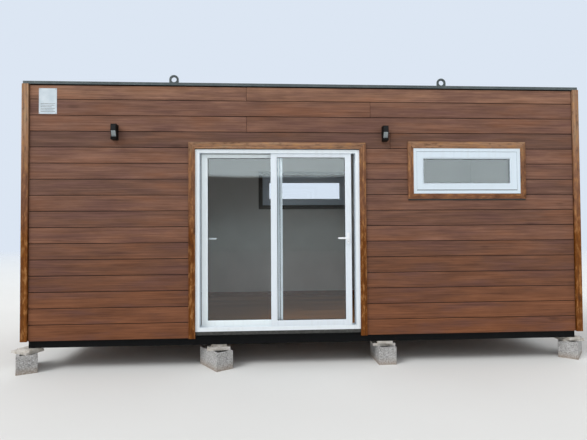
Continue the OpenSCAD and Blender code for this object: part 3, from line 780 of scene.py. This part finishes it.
def upright_loops(rings, profile):
    """Rings that stand along X, each as (x0, x1, z0, z1, y, side), side being -1 in front."""
    r = np.asarray(rings, float)
    x, z = r[:, [0, 1, 1, 0]], r[:, [2, 2, 3, 3]]
    corners = np.stack([x, np.broadcast_to(r[:, 4:5], x.shape), z], -1)
    inward = np.broadcast_to([[1, 0, 1], [-1, 0, 1], [-1, 0, -1], [1, 0, -1]], corners.shape)
    outward = np.stack([0 * r[:, 5], r[:, 5], 0 * r[:, 5]], -1)
    return loops(corners, inward, outward, profile)


def solids_of(node):
    """The lowest and highest corner of each separate solid of a CAD node, from the front to
    the back and then from the left to the right."""
    work = bmesh.new()
    work.from_mesh(frame["nodes"][node].data)
    bmesh.ops.remove_doubles(work, verts=work.verts, dist=1e-5)
    left, spans = set(work.verts), []
    while left:
        group, edge = [], [left.pop()]
        while edge:
            vert = edge.pop()
            group.append(vert.co[:])
            near = {e.other_vert(vert) for e in vert.link_edges} & left
            left -= near
            edge += near
        spans.append((np.min(group, 0), np.max(group, 0)))
    work.free()
    return sorted(spans, key=lambda span: tuple(span[0][[1, 0, 2]].round(4)))


# Boards


def split_run(low, high, holes):
    """The stretches of a run that lie outside some holes along it."""
    stretches = [(low, high)]
    for a, b in holes:
        stretches = [s for old in stretches
                     for s in ((old[0], min(old[1], a)), (max(old[0], b), old[1]))
                     if s[1] - s[0] > 0.01]
    return stretches


class Wall:
    """The boards of one wall. place is its back plane, as a point with no run or height."""

    def __init__(self, seed, place, along, out):
        self.timber = Timber(seed)
        self.place, self.along, self.out = place, along, out

    def board(self, left, right, low, high, depth, chamfer, tone, shift=None, wave=0.0,
              bare=(True, True)):
        self.timber.add(self.place + self.along * left + UP * low, self.along, UP, self.out,
                        right - left, high - low, depth, chamfer, wave, bare=bare, tone=tone,
                        shift=shift)

    def strip(self, left, right, low, high):
        """A thin strip behind an open joint, near black: it paints the shade inside the joint."""
        self.board(left, right, low, high, STRIP_T, 0.0005, -1.0)

    def clad(self, run, holes, joints, tones):
        """Rows of boards. joints and tones are kept by row, counted from the top.

        A row is as high as its pitch less the open joint, and is cut at its butt joints.
        """
        s = sizes()
        low_z, high_z = FRONT_LOW[2], FRONT_HIGH[2]
        pitch = (high_z - low_z) / s.board_rows
        top = EDGE_LOW[2] - s.top_gap
        for row in range(s.board_rows):
            low = low_z + row * pitch + s.board_gap / 2
            high = min(low + pitch - s.board_gap, top)
            key = s.board_rows - row
            ends = [run[0], *sorted(joints.get(key, ())), run[1]]
            for begin, end in zip(ends[:-1], ends[1:]):
                self.stretch(begin, end, run, low, high, holes, tones.get(key, (0.3, 0.8)))
            # Behind each open joint a near black strip paints the shade inside the joint.
            if row:
                cuts = [(h[0], h[1]) for h in holes if h[2] < low and h[3] > low - s.board_gap]
                for left, right in split_run(*run, cuts):
                    self.strip(left, right, low - STRIP_BELOW, low + STRIP_T)
        # Under the roof edge a near black strip paints the shade in the top gap.
        self.strip(*run, top - STRIP_BELOW, high_z - 0.001)

    def stretch(self, begin, end, run, low, high, holes, tones):
        """One row from a butt joint to the next, cut at holes.

        Where a hole ends part way up the row, a part board fills the rest of the row's height
        and carries on the grain of the row, so that no seam shows.
        """
        s = sizes()
        overlap, butt = 0.004, 0.0008
        tone = self.timber.random.uniform(*tones)
        shift = self.timber.random.uniform(-40.0, 40.0, 3)
        wave = self.timber.random.uniform(0.4, 1.0) * s.board_wave
        crossing = [h for h in holes if h[2] < high - overlap and h[3] > low + overlap
                    and h[0] < end and h[1] > begin]
        a, b = begin + (butt if begin != run[0] else 0), end - (butt if end != run[1] else 0)
        for left, right in split_run(a, b, [(h[0], h[1]) for h in crossing]):
            self.board(left, right, low, high, s.board_t, s.board_chamfer, tone,
                       shift + (left, 0, 0), 0.0 if crossing else wave, (left != a, right != b))
        for x0, x1, z0, z1 in crossing:
            left, right = max(x0, a), min(x1, b)
            for part_low, part_high in split_run(low, high, [(z0, z1)]):
                self.board(left, right, part_low, part_high, s.board_t, s.board_chamfer, tone,
                           shift + (left, part_low - low, 0))


def wall_holes():
    """The holes of the front and of the back, as spans along X and Z."""
    gap = 0.005
    spans = {}
    for low, high in solids_of("window_frames"):
        side = "front" if low[1] < 0 else "back"
        spans[side] = (low[0] - gap, high[0] + gap, low[2] - gap, high[2] + gap)
    door = (DOOR_LOW[0] - gap, DOOR_HIGH[0] + gap, 0.0, DOOR_HIGH[2] + gap)
    return spans, door


class OBJECT_OT_cabin_boards(bpy.types.Operator):
    """Clad the four walls with rows of boards on battens"""

    bl_idname = "object.cabin_boards"
    bl_label = "Wall boards"

    def execute(self, context):
        s = sizes()
        spans, door = wall_holes()
        end = TRIM_L - s.trim_w - s.trim_gap
        end_w = TRIM_W - s.trim_w - s.trim_gap
        x, y = np.eye(3)[:2]
        front, left = y * (s.board_t - HALF_W), x * (s.board_t - HALF_L)
        front_joints = {1: [-0.70], 2: [0.68], 3: [-0.70], 4: [0.9]}
        back_joints = {r: [(-1.4, 0.9, -0.2, 1.7)[r % 4]] for r in range(1, 17)}
        tones = {1: (0.8, 1.0), 8: (0.6, 0.8), 12: (0.0, 0.1), 13: (0.1, 0.3),
                 14: (0.0, 0.15), 16: (0.6, 0.8)} | {r: (0.1, 0.3) for r in (4, 7, 9, 11)}
        walls = (
            ("front_boards", 11, (-end, end), front, x, -y, [door, spans["front"]], front_joints,
             ("front_cladding_left", "front_cladding_right", "front_cladding_over_door")),
            ("back_boards", 12, (-end, end), -front, x, y, [spans["back"]], back_joints,
             ("back_cladding",)),
            ("left_boards", 13, (-end_w, end_w), left, y, -x, [], {}, ("left_cladding",)),
            ("right_boards", 14, (-end_w, end_w), -left, y, x, [], {}, ("right_cladding",)),
        )
        for name, seed, run, place, along, out, holes, joints, nodes in walls:
            wall = Wall(seed, place, along, out)
            wall.clad(run, holes, joints, tones)
            wall.timber.stand_for(name, board_wood, "timber_board", *nodes)
        box_piece("battens", battens(spans, door), batten_wood, "dark_timber")
        return {"FINISHED"}


def battens(spans, door):
    """Upright battens between the wall and the boards, cut at the openings."""
    half, end_gap, from_corner, end_count = 0.0225, 0.004, 0.12, 4
    low_z, high_z = FRONT_LOW[2] + end_gap, FRONT_HIGH[2] - end_gap
    count = int(2 * HALF_L / sizes().batten_step)
    pieces = []
    for side, holes in ((-1.0, (door, spans["front"])), (1.0, (spans["back"],))):
        y0, y1 = sorted((side * (HALF_W - CLAD_T), side * (HALF_W - sizes().board_t)))
        for x in np.linspace(from_corner - HALF_L, HALF_L - from_corner, count):
            cuts = [(h[2], h[3]) for h in holes if h[0] < x + half and h[1] > x - half]
            pieces += [((x - half, y0, z0), (x + half, y1, z1))
                       for z0, z1 in split_run(low_z, high_z, cuts)]
    for side in (-1.0, 1.0):
        x0, x1 = sorted((side * (HALF_L - CLAD_T), side * (HALF_L - sizes().board_t)))
        pieces += [((x0, y - half, low_z), (x1, y + half, high_z)) for y in
                   np.linspace(from_corner - HALF_W, HALF_W - from_corner, end_count)]
    return pieces


class OBJECT_OT_cabin_trims(bpy.types.Operator):
    """Put the trim boards on the corners and round the door and the windows"""

    bl_idname = "object.cabin_trims"
    bl_label = "Trim boards"

    def execute(self, context):
        w, post_l, post_w, gap = sizes().trim_w, 0.045, 0.04, 0.0005
        corners = Timber(21)
        for side in (-1.0, 1.0):
            for end in (-1.0, 1.0):
                x, y = np.array([end, 0, 0]), np.array([0, side, 0])
                for a, b, across, out, wide, deep, tone in (
                        (TRIM_L - w, HALF_W, x, y, w, TRIM_T, 0.9),
                        (HALF_L, TRIM_W - w, y, x, w - TRIM_T - 0.0004, TRIM_T, 0.7),
                        (HALF_L - post_l, HALF_W - post_w, x, y, post_l - gap, post_w - gap, 0.0)):
                    corners.add((end * a, side * b, TRIM_LOW[2]), UP, across, out,
                                TRIM_HIGH[2] - TRIM_LOW[2], wide, deep, tone=tone)
        corners.stand_for("corner_boards", trim_wood, "pale_timber", "corner_trims")
        door = Timber(22)
        front = np.array([0, -1.0, 0])
        mitred_frame(door, DOOR_TRIM_LOW, DOOR_TRIM_HIGH, -HALF_W, front, w, w)
        door.stand_for("door_trim_boards", trim_wood, "pale_timber", "door_trim")
        windows, strips = Timber(27), []
        end_gap, strip_h, strip_out = 0.002, 0.015, 0.008
        for (low, high), (frame_low, frame_high) in zip(solids_of("window_trims"),
                                                        solids_of("window_frames")):
            side = -1.0 if low[1] < 0 else 1.0
            mitred_frame(windows, low, high, side * HALF_W, np.array([0, side, 0]),
                         frame_low[0] + TRIM_LAP - low[0], high[2] - frame_high[2] + TRIM_LAP,
                         frame_low[2] + TRIM_LAP - low[2])
            # Under each bottom trim a black drip strip, whose black also paints the shade under the
            # trim.
            y = sorted((side * HALF_W, side * (HALF_W + strip_out)))
            strips.append(((low[0] + end_gap, y[0], low[2] - strip_h),
                           (high[0] - end_gap, y[1], low[2] - 0.0002)))
        windows.stand_for("window_trim_boards", trim_wood, "pale_timber", "window_trims")
        box_piece("window_drip_strips", strips, rubber_black, "roller_plastic")
        return {"FINISHED"}


def mitred_frame(timber, low, high, y_back, out, side_w, top_w, low_w=0.0):
    """Boards round an opening, of three widths. Each is as long as the outer side, and its
    ends slant inwards by the width of the board that it meets, so that the two corners of
    each joint lie on one line."""
    x = np.array([1.0, 0, 0])
    gap, chamfer = 0.0006, 0.0015
    wide, rise = high[0] - low[0], high[2] - low[2]
    timber.add((low[0], y_back, high[2]), x, -UP, out, wide, top_w, TRIM_T, chamfer,
               slant=(side_w / top_w, -side_w / top_w), tone=0.9)
    for start, across in ((low[0], x), (high[0], -x)):
        timber.add((start, y_back, low[2] + gap), UP, across, out, rise - 2 * gap, side_w,
                   TRIM_T, chamfer, slant=(low_w / side_w, -top_w / side_w), tone=0.55)
    if low_w:
        timber.add((low[0], y_back, low[2]), x, UP, out, wide, low_w, TRIM_T, chamfer,
                   slant=(side_w / low_w, -side_w / low_w), tone=0.6)


# Stage


def look(place, yaw, pitch, roll):
    """A camera's turn: forward from yaw and pitch, then its right and up turned by roll."""
    forward = np.array([math.sin(yaw) * math.cos(pitch), math.cos(yaw) * math.cos(pitch),
                        math.sin(pitch)])
    right = np.array([math.cos(yaw), -math.sin(yaw), 0.0])
    up = np.cross(right, forward)
    turned = math.cos(roll) * right + math.sin(roll) * up
    lifted = -math.sin(roll) * right + math.cos(roll) * up
    turn = Matrix(np.stack([turned, lifted, -forward], 1).tolist()).to_4x4()
    turn.translation = Vector(place)
    return turn


CAMERA_PLACE = (-0.460, -6.110, 1.489)
CAMERA_TURN = (math.radians(3.208), math.radians(1.296), math.radians(-0.357))


class OBJECT_OT_cabin_stage(bpy.types.Operator):
    """Set the camera, the lights, the world and a plain floor"""

    bl_idname = "object.cabin_stage"
    bl_label = "Stage"

    def execute(self, context):
        scene = context.scene
        scene.view_settings.view_transform = "Standard"
        lens = bpy.data.cameras.new("camera")
        lens.lens = sizes().lens
        lens.sensor_width = 36.0
        lens.sensor_fit = "HORIZONTAL"
        lens.clip_end = 500.0
        camera = bpy.data.objects.new("camera", lens)
        camera.matrix_world = look(CAMERA_PLACE, *CAMERA_TURN)
        scene.collection.objects.link(camera)
        scene.camera = camera
        scene.world = studio_world()
        stage_floor()
        lamp("soft_sun", "SUN", 1.35, (0, 0, 6), (0.95, 0.7, -1.2), angle=math.radians(26))
        room = lamp("room_fill", "AREA", 2.0, (0, 0, 2.96), (0, 0, -1), shape="RECTANGLE",
                    size=5.0, size_y=1.6, color=(0.92, 0.96, 1.0))
        room.visible_camera = room.visible_glossy = room.visible_transmission = False
        return {"FINISHED"}


def studio_world():
    """Soft light that grows towards the zenith, and a plain pale backdrop for the eye.

    A mirrored ray sees brown ground, grey up to a dark band and a bright one above that, and
    an even sky higher up, so that upright glass shows pale at its top and lets the room be
    seen below. To the right the dark band lies lower.
    """
    c = colours()
    world = bpy.data.worlds.new("studio")
    w = Nodes(world, "ShaderNodeOutputWorld")
    path = w.node("ShaderNodeLightPath").outputs
    direction = w.node("ShaderNodeTexCoord").outputs["Generated"]
    rise = w.axis(direction, "Z")
    aside = w.maths("MAXIMUM", w.maths("SUBTRACT", w.axis(direction, "X"), 0.22), 0.0)
    lifted = w.maths("ADD", rise, w.times(aside, 0.3))
    height = w.maths("ADD", w.times(lifted, 0.5), 0.5)
    band = w.ramp(height, (0.44, (0.05, 0.045, 0.04)), (0.47, (0.16, 0.19, 0.19)),
                  (0.50, (0.15, 0.18, 0.18)), (0.515, (0.075, 0.09, 0.09)),
                  (0.53, (0.025, 0.028, 0.026)), (0.5589, (0.01, 0.01, 0.01)),
                  (0.5596, (0.83, 0.96, 1.0)),
                  (0.62, (0.83, 0.96, 1.0)), (0.67, (0.24, 0.25, 0.27)))
    sky = w.ramp(rise, (0.0, (0.65, 0.66, 0.67)), (1.0, (0.92, 0.94, 0.96)))
    light = w.node("ShaderNodeBackground", Color=sky)
    bright = w.maths("ADD", w.times(path["Is Transmission Ray"], 0.13), 1.0)
    backdrop = w.node("ShaderNodeBackground", Color=(*c.background,), Strength=bright)
    mirrored = w.node("ShaderNodeBackground", Color=band, Strength=4.0)
    seen = w.maths("MAXIMUM", path["Is Camera Ray"], path["Is Transmission Ray"])
    shader = w.blend(seen, light.outputs[0], backdrop.outputs[0])
    bounced = w.maths("MINIMUM", path["Is Glossy Ray"], path["Glossy Depth"])
    w.end(w.blend(bounced, shader, mirrored.outputs[0]))
    return world


def stage_floor():
    """A wide disc under the cabin that fades into the backdrop far from it."""
    reach = 90.0
    turn = np.linspace(0, 2 * math.pi, 96, endpoint=False)
    rim = np.stack([reach * np.cos(turn), reach * np.sin(turn), 0 * turn], 1)
    mesh = bpy.data.meshes.new("stage_floor")
    mesh.from_pydata(rim.tolist(), [], [list(range(96))])
    f = Finish("stage_floor", colours().floor)
    f.vary(f.noise(f.place, 0.5), 0.985, 1.015)
    base = f.node("ShaderNodeBsdfPrincipled", Base_Color=f.colour, Roughness=0.95,
                  Specular_IOR_Level=0.1)
    far = f.node("ShaderNodeVectorMath", {"operation": "LENGTH"}, Vector=f.place)
    fade = f.ramp(f.maths("DIVIDE", far.outputs["Value"], 60.0), (0.1, 0.0), (0.6, 1.0))
    clear = f.node("ShaderNodeBsdfTransparent")
    f.end(f.blend(fade, base.outputs[0], clear.outputs[0]))
    mesh.materials.append(f.material)
    floor = bpy.data.objects.new("stage_floor", mesh)
    bpy.context.scene.collection.objects.link(floor)


def lamp(name, kind, energy, place, aim, **settings):
    """A lamp at a place that shines along aim."""
    light = bpy.data.lights.new(name, kind)
    light.energy = energy
    for key, value in settings.items():
        setattr(light, key, value)
    item = bpy.data.objects.new(name, light)
    item.location = place
    item.rotation_euler = Vector(aim).to_track_quat("-Z", "Y").to_euler()
    bpy.context.scene.collection.objects.link(item)
    return item


# The rest of the cabin


class OBJECT_OT_cabin_profiles(bpy.types.Operator):
    """Round the edges of the door and window profiles and put in their glass and levers"""

    bl_idname = "object.cabin_profiles"
    bl_label = "Door and windows"

    def execute(self, context):
        for node, width, white in (("door_frame", 0.0015, door_plastic),
                                   ("left_sash_frame", 0.002, left_sash_plastic_painted_light),
                                   ("right_sash_frame", 0.002, right_sash_plastic_painted_shade),
                                   ("window_frames", 0.0025, window_plastic_painted_shade),
                                   ("window_sashes", 0.003, window_plastic_painted_shade)):
            bevelled(node, node + "_profile", width, white)
        dress(window_glass, "left_sash_glass", "right_sash_glass", "window_glass")
        dress(roller_nylon, "left_sash_rollers", "right_sash_rollers")
        for node in ("left_handle_plate", "right_handle_plate"):
            bevelled(node, node + "_rounded", 0.0015, white_lacquer)
        for node in ("left_lever", "right_lever"):
            bevelled(node, node + "_rounded", 0.003, white_lacquer, 3)
        bevelled("door_sill_flashing", "door_sill_folds", 0.001, dark_sheet)
        put_beads("left_sash", "left_sash_frame", "left_sash", left_sash_plastic_painted_light)
        put_beads("right_sash", "right_sash_frame", "right_sash", right_sash_plastic_painted_shade)
        put_beads("window", "window_sashes", "cabin", window_plastic_painted_shade)
        put_window_seals()
        put_door_seals()
        put_keyholes()
        return {"FINISHED"}


def put_beads(name, sashes, body, white):
    """Sloped beads that hold the panes, and black seals where they meet the glass.

    A pane reaches a little behind its sash, so its box less that lap is the sash's opening.
    A bead slopes from just under the sash's face down to the glass.
    """
    lap, width = 0.0117, 0.014
    sash = solids_of(sashes)
    for (low, high), (sash_low, sash_high) in zip(match(solids_of(name + "_glass"), sash), sash):
        rings = [(low[0] + lap, high[0] - lap, low[2] + lap, high[2] - lap, y, side)
                 for y, side in ((low[1], -1.0), (high[1], 1.0))]
        depth = min(low[1] - sash_low[1], sash_high[1] - high[1])
        tag = name if body != "cabin" else name + ("_front" if low[1] < 0 else "_back")
        bead = [(0, 0.0002), (0, depth - 0.0012), (0.004, depth - 0.0008),
                (width - 0.002, 0.004), (width, 0.003), (width, 0.0002)]
        new_piece(tag + "_beads", *upright_loops(rings, bead), white, "white_plastic", body)
        seal = [(width, 0.0001), (width, 0.0026), (width + 0.003, 0.0022),
                (width + 0.0042, 0.0001)]
        new_piece(tag + "_seals", *upright_loops(rings, seal), rubber_black,
                  "roller_plastic", body)


def match(inner, outer):
    """Orders the inner boxes so that each lies in the outer box of the same place."""
    return [next(b for b in inner if all(b[0] >= low - 1e-4) and all(b[1] <= high + 1e-4))
            for low, high in outer]


def put_window_seals():
    """A seal round each window sash in front of it, and a black bar along the bottom that paints
    the shade in a drip gap.
    """
    bar_end, bar_out, bar_low, bar_high = 0.001, 0.0022, 0.0005, 0.0075
    rings, lows, highs = [], [], []
    for low, high in solids_of("window_sashes"):
        side = -1.0 if low[1] < 0 else 1.0
        y = low[1] if side < 0 else high[1]
        near, far = sorted((y, y + side * bar_out))
        rings.append((low[0], high[0], low[2], high[2], y, side))
        # The bar's black paints the shade in the drip gap.
        lows.append((low[0] + bar_end, near, low[2] + bar_low))
        highs.append((high[0] - bar_end, far, low[2] + bar_high))
    seal = [(0.0, 0.0001), (0.0, 0.0007), (0.0008, 0.0010), (0.0014, 0.0001)]
    ring_verts, ring_faces = upright_loops(rings, seal)
    bar_verts, bar_faces = boxes(lows, highs)
    ring_verts, bar_verts = ring_verts.reshape(-1, 3), bar_verts.reshape(-1, 3)
    faces = ring_faces + (np.array(bar_faces) + len(ring_verts)).tolist()
    new_piece("window_seals", np.concatenate([ring_verts, bar_verts]), faces, rubber_black,
              "roller_plastic")


def put_door_seals():
    """Brush seals along the sides of the inner track, black seals on its head and under the head
    trim, whose black also paints the shade under the head and the trim's shadow, and a black strip
    that paints the shade in the groove of the left sash's meeting stile."""
    face, pile, head_t, head_h, trim_t = 0.045, 0.008, 0.0015, 0.005, 0.0075
    x0, x1 = DOOR_LOW[0] + TRIM_LAP + face, DOOR_HIGH[0] - TRIM_LAP - face
    z0, z1 = DOOR_LOW[2] + face, DOOR_HIGH[2] - TRIM_LAP - face
    low, high = corner_boxes("left_sash_frame")
    near, far, front, top = low[1] - 0.012, low[1] - 0.006, DOOR_LOW[1], z1 + face
    box_piece("door_brush_seal", [((x0, near, z0), (x0 + pile, far, z1)),
                                  ((x1 - pile, near, z0), (x1, far, z1))],
              brush_grey, "roller_plastic")
    # The black of these seals also paints the shade under the head and the shadow of the head trim.
    box_piece("door_head_seals", [
        ((x0 + pile, near, z1 - head_h), (x1 - pile, far, z1)),
        ((x0 - face, front - head_t, top - trim_t), (x1 + face, front, top - 0.0003))],
        rubber_black, "roller_plastic")
    # A black strip paints the shade in the groove of the left sash's meeting stile.
    inner, outer, end, proud = 0.031, 0.0255, 0.03, 0.0006
    box_piece("left_sash_groove", [((high[0] - inner, low[1] - proud, low[2] + end),
                                    (high[0] - outer, low[1], high[2] - end))],
              rubber_black, "roller_plastic", "left_sash")


def put_keyholes():
    """A black box in the end of each key cylinder: it paints the shade in the key slot."""
    half_w, half_h, below = 0.0012, 0.0045, 0.034
    for body, node, side in (("left_sash", "left_handle_plate", 1.0),
                             ("right_sash", "right_handle_plate", -1.0)):
        low, high = corner_boxes(node)
        x, z = (low[0] + high[0]) / 2, (low[2] + high[2]) / 2 - below
        y = high[1] if side > 0 else low[1]
        near, far = sorted((y - side * 0.001, y + side * 0.0004))
        # Painted shade: a black box stands for the dark key slot.
        box_piece(body + "_keyhole", [((x - half_w, near, z - half_h),
                                       (x + half_w, far, z + half_h))],
                  rubber_black, "roller_plastic", body)


class OBJECT_OT_cabin_lights(bpy.types.Operator):
    """Finish the wall lights"""

    bl_idname = "object.cabin_lights"
    bl_label = "Wall lights"

    def execute(self, context):
        bevelled("wall_lights", "wall_light_cases", 0.0022, lamp_case)
        bevelled("wall_light_lenses", "wall_light_frosted_lenses", 0.002, lamp_lens)
        put_lamp_screens()
        return {"FINISHED"}


def put_lamp_screens():
    """Dark screens on the upper half of each case, whose front leans back above its middle."""
    middle_share, lean_back, sunk, proud = 0.565, 0.006, 0.002, 0.0008
    rim, rim_low, rim_top = 0.006, 0.005, 0.007
    low, high = map(np.array, zip(*solids_of("wall_lights")))
    top = high[:, 2]
    middle = low[:, 2] + middle_share * (top - low[:, 2])
    lows = np.stack([low[:, 0] + rim, low[:, 1] - proud, middle + rim_low], 1)
    highs = np.stack([high[:, 0] - rim, low[:, 1] + sunk, top - rim_top], 1)
    verts, faces = boxes(lows, highs)
    lean = lean_back / (top - middle)
    verts[..., 1] += lean[:, None] * (verts[..., 2] - middle[:, None])
    new_piece("wall_light_screens", verts, faces, lamp_screen, "light_housing")


class OBJECT_OT_cabin_base(bpy.types.Operator):
    """Finish the steel base, the blocks and the levelling plates"""

    bl_idname = "object.cabin_base"
    bl_label = "Base and blocks"

    def execute(self, context):
        for node in ("base_side_rails", "base_end_rails", "base_joists"):
            bevelled(node, node + "_rolled", 0.0015, black_steel)
        bevelled("support_blocks", "concrete_blocks", 0.006, concrete, 3)
        bevelled("levelling_plates", "levelling_offcuts", 0.003, plate_stone)
        return {"FINISHED"}


class OBJECT_OT_cabin_roof(bpy.types.Operator):
    """Finish the roof sheet, its edge and the lifting lugs"""

    bl_idname = "object.cabin_roof"
    bl_label = "Roof"

    def execute(self, context):
        dress(roof_metal, "roof_panel", "roof_ribs")
        bevelled("roof_edging", "roof_edge_folds", 0.0012, coated_sheet)
        bevelled("lifting_lugs", "lifting_eyes", 0.003, coated_sheet, 3)
        put_roof_screws()
        put_lug_welds()
        return {"FINISHED"}


def put_roof_screws():
    """Screws along the crown of each rib and round the flange of the roof edge."""
    rib_end, flange, long_end, short_end = 0.06, 0.055, 0.05, 0.3
    heads = [((low[0] + high[0]) / 2, y, high[2]) for low, high in solids_of("roof_ribs")
             for y in np.linspace(low[1] + rib_end, high[1] - rib_end, 6)]
    reach_x, reach_y, top = EDGE_HIGH[0] - flange, EDGE_HIGH[1] - flange, EDGE_HIGH[2]
    heads += [(x, side * reach_y, top) for side in (-1, 1)
              for x in np.linspace(long_end - reach_x, reach_x - long_end, 15)]
    heads += [(side * reach_x, y, top) for side in (-1, 1)
              for y in np.linspace(short_end - reach_y, reach_y - short_end, 5)]
    new_piece("roof_screws", *domes(heads, UP, 0.009, 0.005), zinc_screws, "grey_metal",
              smooth=True)


def put_lug_welds():
    """A weld bead round the foot of each lug."""
    half_l, half_w, foot = 0.052, 0.0075, 0.008
    rings = []
    for low, high in solids_of("lifting_lugs"):
        x, y = (low[0] + high[0]) / 2, (low[1] + high[1]) / 2
        rings.append((x - half_l, x + half_l, y - half_w, y + half_w, low[2] + foot))
    bead = [(0.002, 0.0), (-0.006, 0.0), (-0.004, 0.003), (-0.001, 0.006), (0.002, 0.008)]
    new_piece("lug_welds", *flat_loops(rings, bead), coated_sheet, "grey_metal")


def flat_loops(rings, profile):
    """Rings that lie flat, each as (x0, x1, y0, y1, z), with the profile rising along Z."""
    r = np.asarray(rings, float)
    x, y = r[:, [0, 1, 1, 0]], r[:, [2, 2, 3, 3]]
    corners = np.stack([x, y, np.broadcast_to(r[:, 4:5], x.shape)], -1)
    inward = np.broadcast_to([[1, 1, 0], [-1, 1, 0], [-1, -1, 0], [1, -1, 0]], corners.shape)
    return loops(corners, inward, np.tile(UP, (len(r), 1)), profile)


class OBJECT_OT_cabin_room(bpy.types.Operator):
    """Finish the inside: panels, ceiling, floor, casings and skirting"""

    bl_idname = "object.cabin_room"
    bl_label = "Room"

    def execute(self, context):
        dress(panel_white, "front_wall_left", "front_wall_right", "front_wall_over_door",
              "back_wall", "left_wall", "right_wall", "ceiling")
        dress(floor_boards, "floor_deck")
        bevelled("inner_casings", "inner_casings_eased", 0.002, dark_wood)
        put_skirting()
        return {"FINISHED"}


def put_skirting():
    """Boards along the foot of the walls. Those of the front and the back run from corner to
    corner, with a gap at the door's casing, and those of the ends run between them."""
    t = 0.014
    low, high = corner_boxes("skirting_boards")
    door_low, door_high = min(solids_of("inner_casings"), key=lambda span: span[0][2])
    x, y = np.array([1.0, 0, 0]), np.array([0, 1.0, 0])
    boards = Timber(31)
    for side, begin, end in ((-1, low[0], door_low[0]), (-1, door_high[0], high[0]),
                             (1, low[0], high[0])):
        boards.add((begin, side * high[1], low[2]), x, UP, -side * y, end - begin,
                   high[2] - low[2], t, bare=(True, True))
    for side in (-1, 1):
        boards.add((side * high[0], low[1] + t, low[2]), y, UP, -side * x,
                   high[1] - low[1] - 2 * t, high[2] - low[2], t, bare=(True, True))
    boards.stand_for("skirting_boards_eased", red_wood, "dark_timber", "skirting_boards")


class OBJECT_OT_cabin_sign(bpy.types.Operator):
    """Fix the bare white sheet near the upper left corner"""

    bl_idname = "object.cabin_sign"
    bl_label = "Sign sheet"

    def execute(self, context):
        x, z, y = (-2.917, -2.730), (2.752, 3.029), -HALF_W
        sheet_t, rule_t, rule_h, margin, corner = 0.003, 0.0004, 0.006, 0.018, 0.009
        face = y - sheet_t
        box_piece("sign_sheet", [((x[0], face, z[0]), (x[1], y, z[1]))], plate_white,
                  "white_plastic")
        rows = np.linspace(z[0] + 0.022, z[0] + 0.108, 6)
        ends = x[1] - margin - 0.04 * np.array([0.0, 0.4, 0.1, 0.9, 0.2, 0.0])
        rules = [((x[0] + margin, face - rule_t, row), (end, face, row + rule_h))
                 for row, end in zip(rows, ends)]
        box_piece("sign_rules", rules, rule_grey, "white_plastic")
        heads = [(a, face, b) for a in (x[0] + corner, x[1] - corner)
                 for b in (z[0] + corner, z[1] - corner)]
        new_piece("sign_screws", *domes(heads, (0.0, -1.0, 0.0), 0.004, 0.002), zinc_screws,
                  "grey_metal", smooth=True)
        return {"FINISHED"}


OPERATORS = (OBJECT_OT_cabin_stage, OBJECT_OT_cabin_boards, OBJECT_OT_cabin_trims,
             OBJECT_OT_cabin_profiles, OBJECT_OT_cabin_lights, OBJECT_OT_cabin_base,
             OBJECT_OT_cabin_roof, OBJECT_OT_cabin_room, OBJECT_OT_cabin_sign)


class VIEW3D_PT_cabin(bpy.types.Panel):
    """Lists the cabin's operators, sizes and colours"""

    bl_idname = "VIEW3D_PT_cabin"
    bl_label = "Cabin"
    bl_space_type = "VIEW_3D"
    bl_region_type = "UI"
    bl_category = "Cabin"

    def draw(self, context):
        for operator in OPERATORS:
            self.layout.operator(operator.bl_idname)
        for group in (context.scene.cabin_sizes, context.scene.cabin_colours):
            for key in group.bl_rna.properties.keys():
                if key not in ("rna_type", "name"):
                    self.layout.prop(group, key)


CLASSES = (CabinSizes, CabinColours, *OPERATORS, VIEW3D_PT_cabin)


def register():
    for cls in CLASSES:
        bpy.utils.register_class(cls)
    bpy.types.Scene.cabin_sizes = bpy.props.PointerProperty(type=CabinSizes)
    bpy.types.Scene.cabin_colours = bpy.props.PointerProperty(type=CabinColours)


def unregister():
    del bpy.types.Scene.cabin_sizes
    del bpy.types.Scene.cabin_colours
    for cls in reversed(CLASSES):
        bpy.utils.unregister_class(cls)


def main():
    register()
    for operator in OPERATORS:
        group, name = operator.bl_idname.split(".")
        getattr(getattr(bpy.ops, group), name)()


if __name__ == "__main__":
    main()
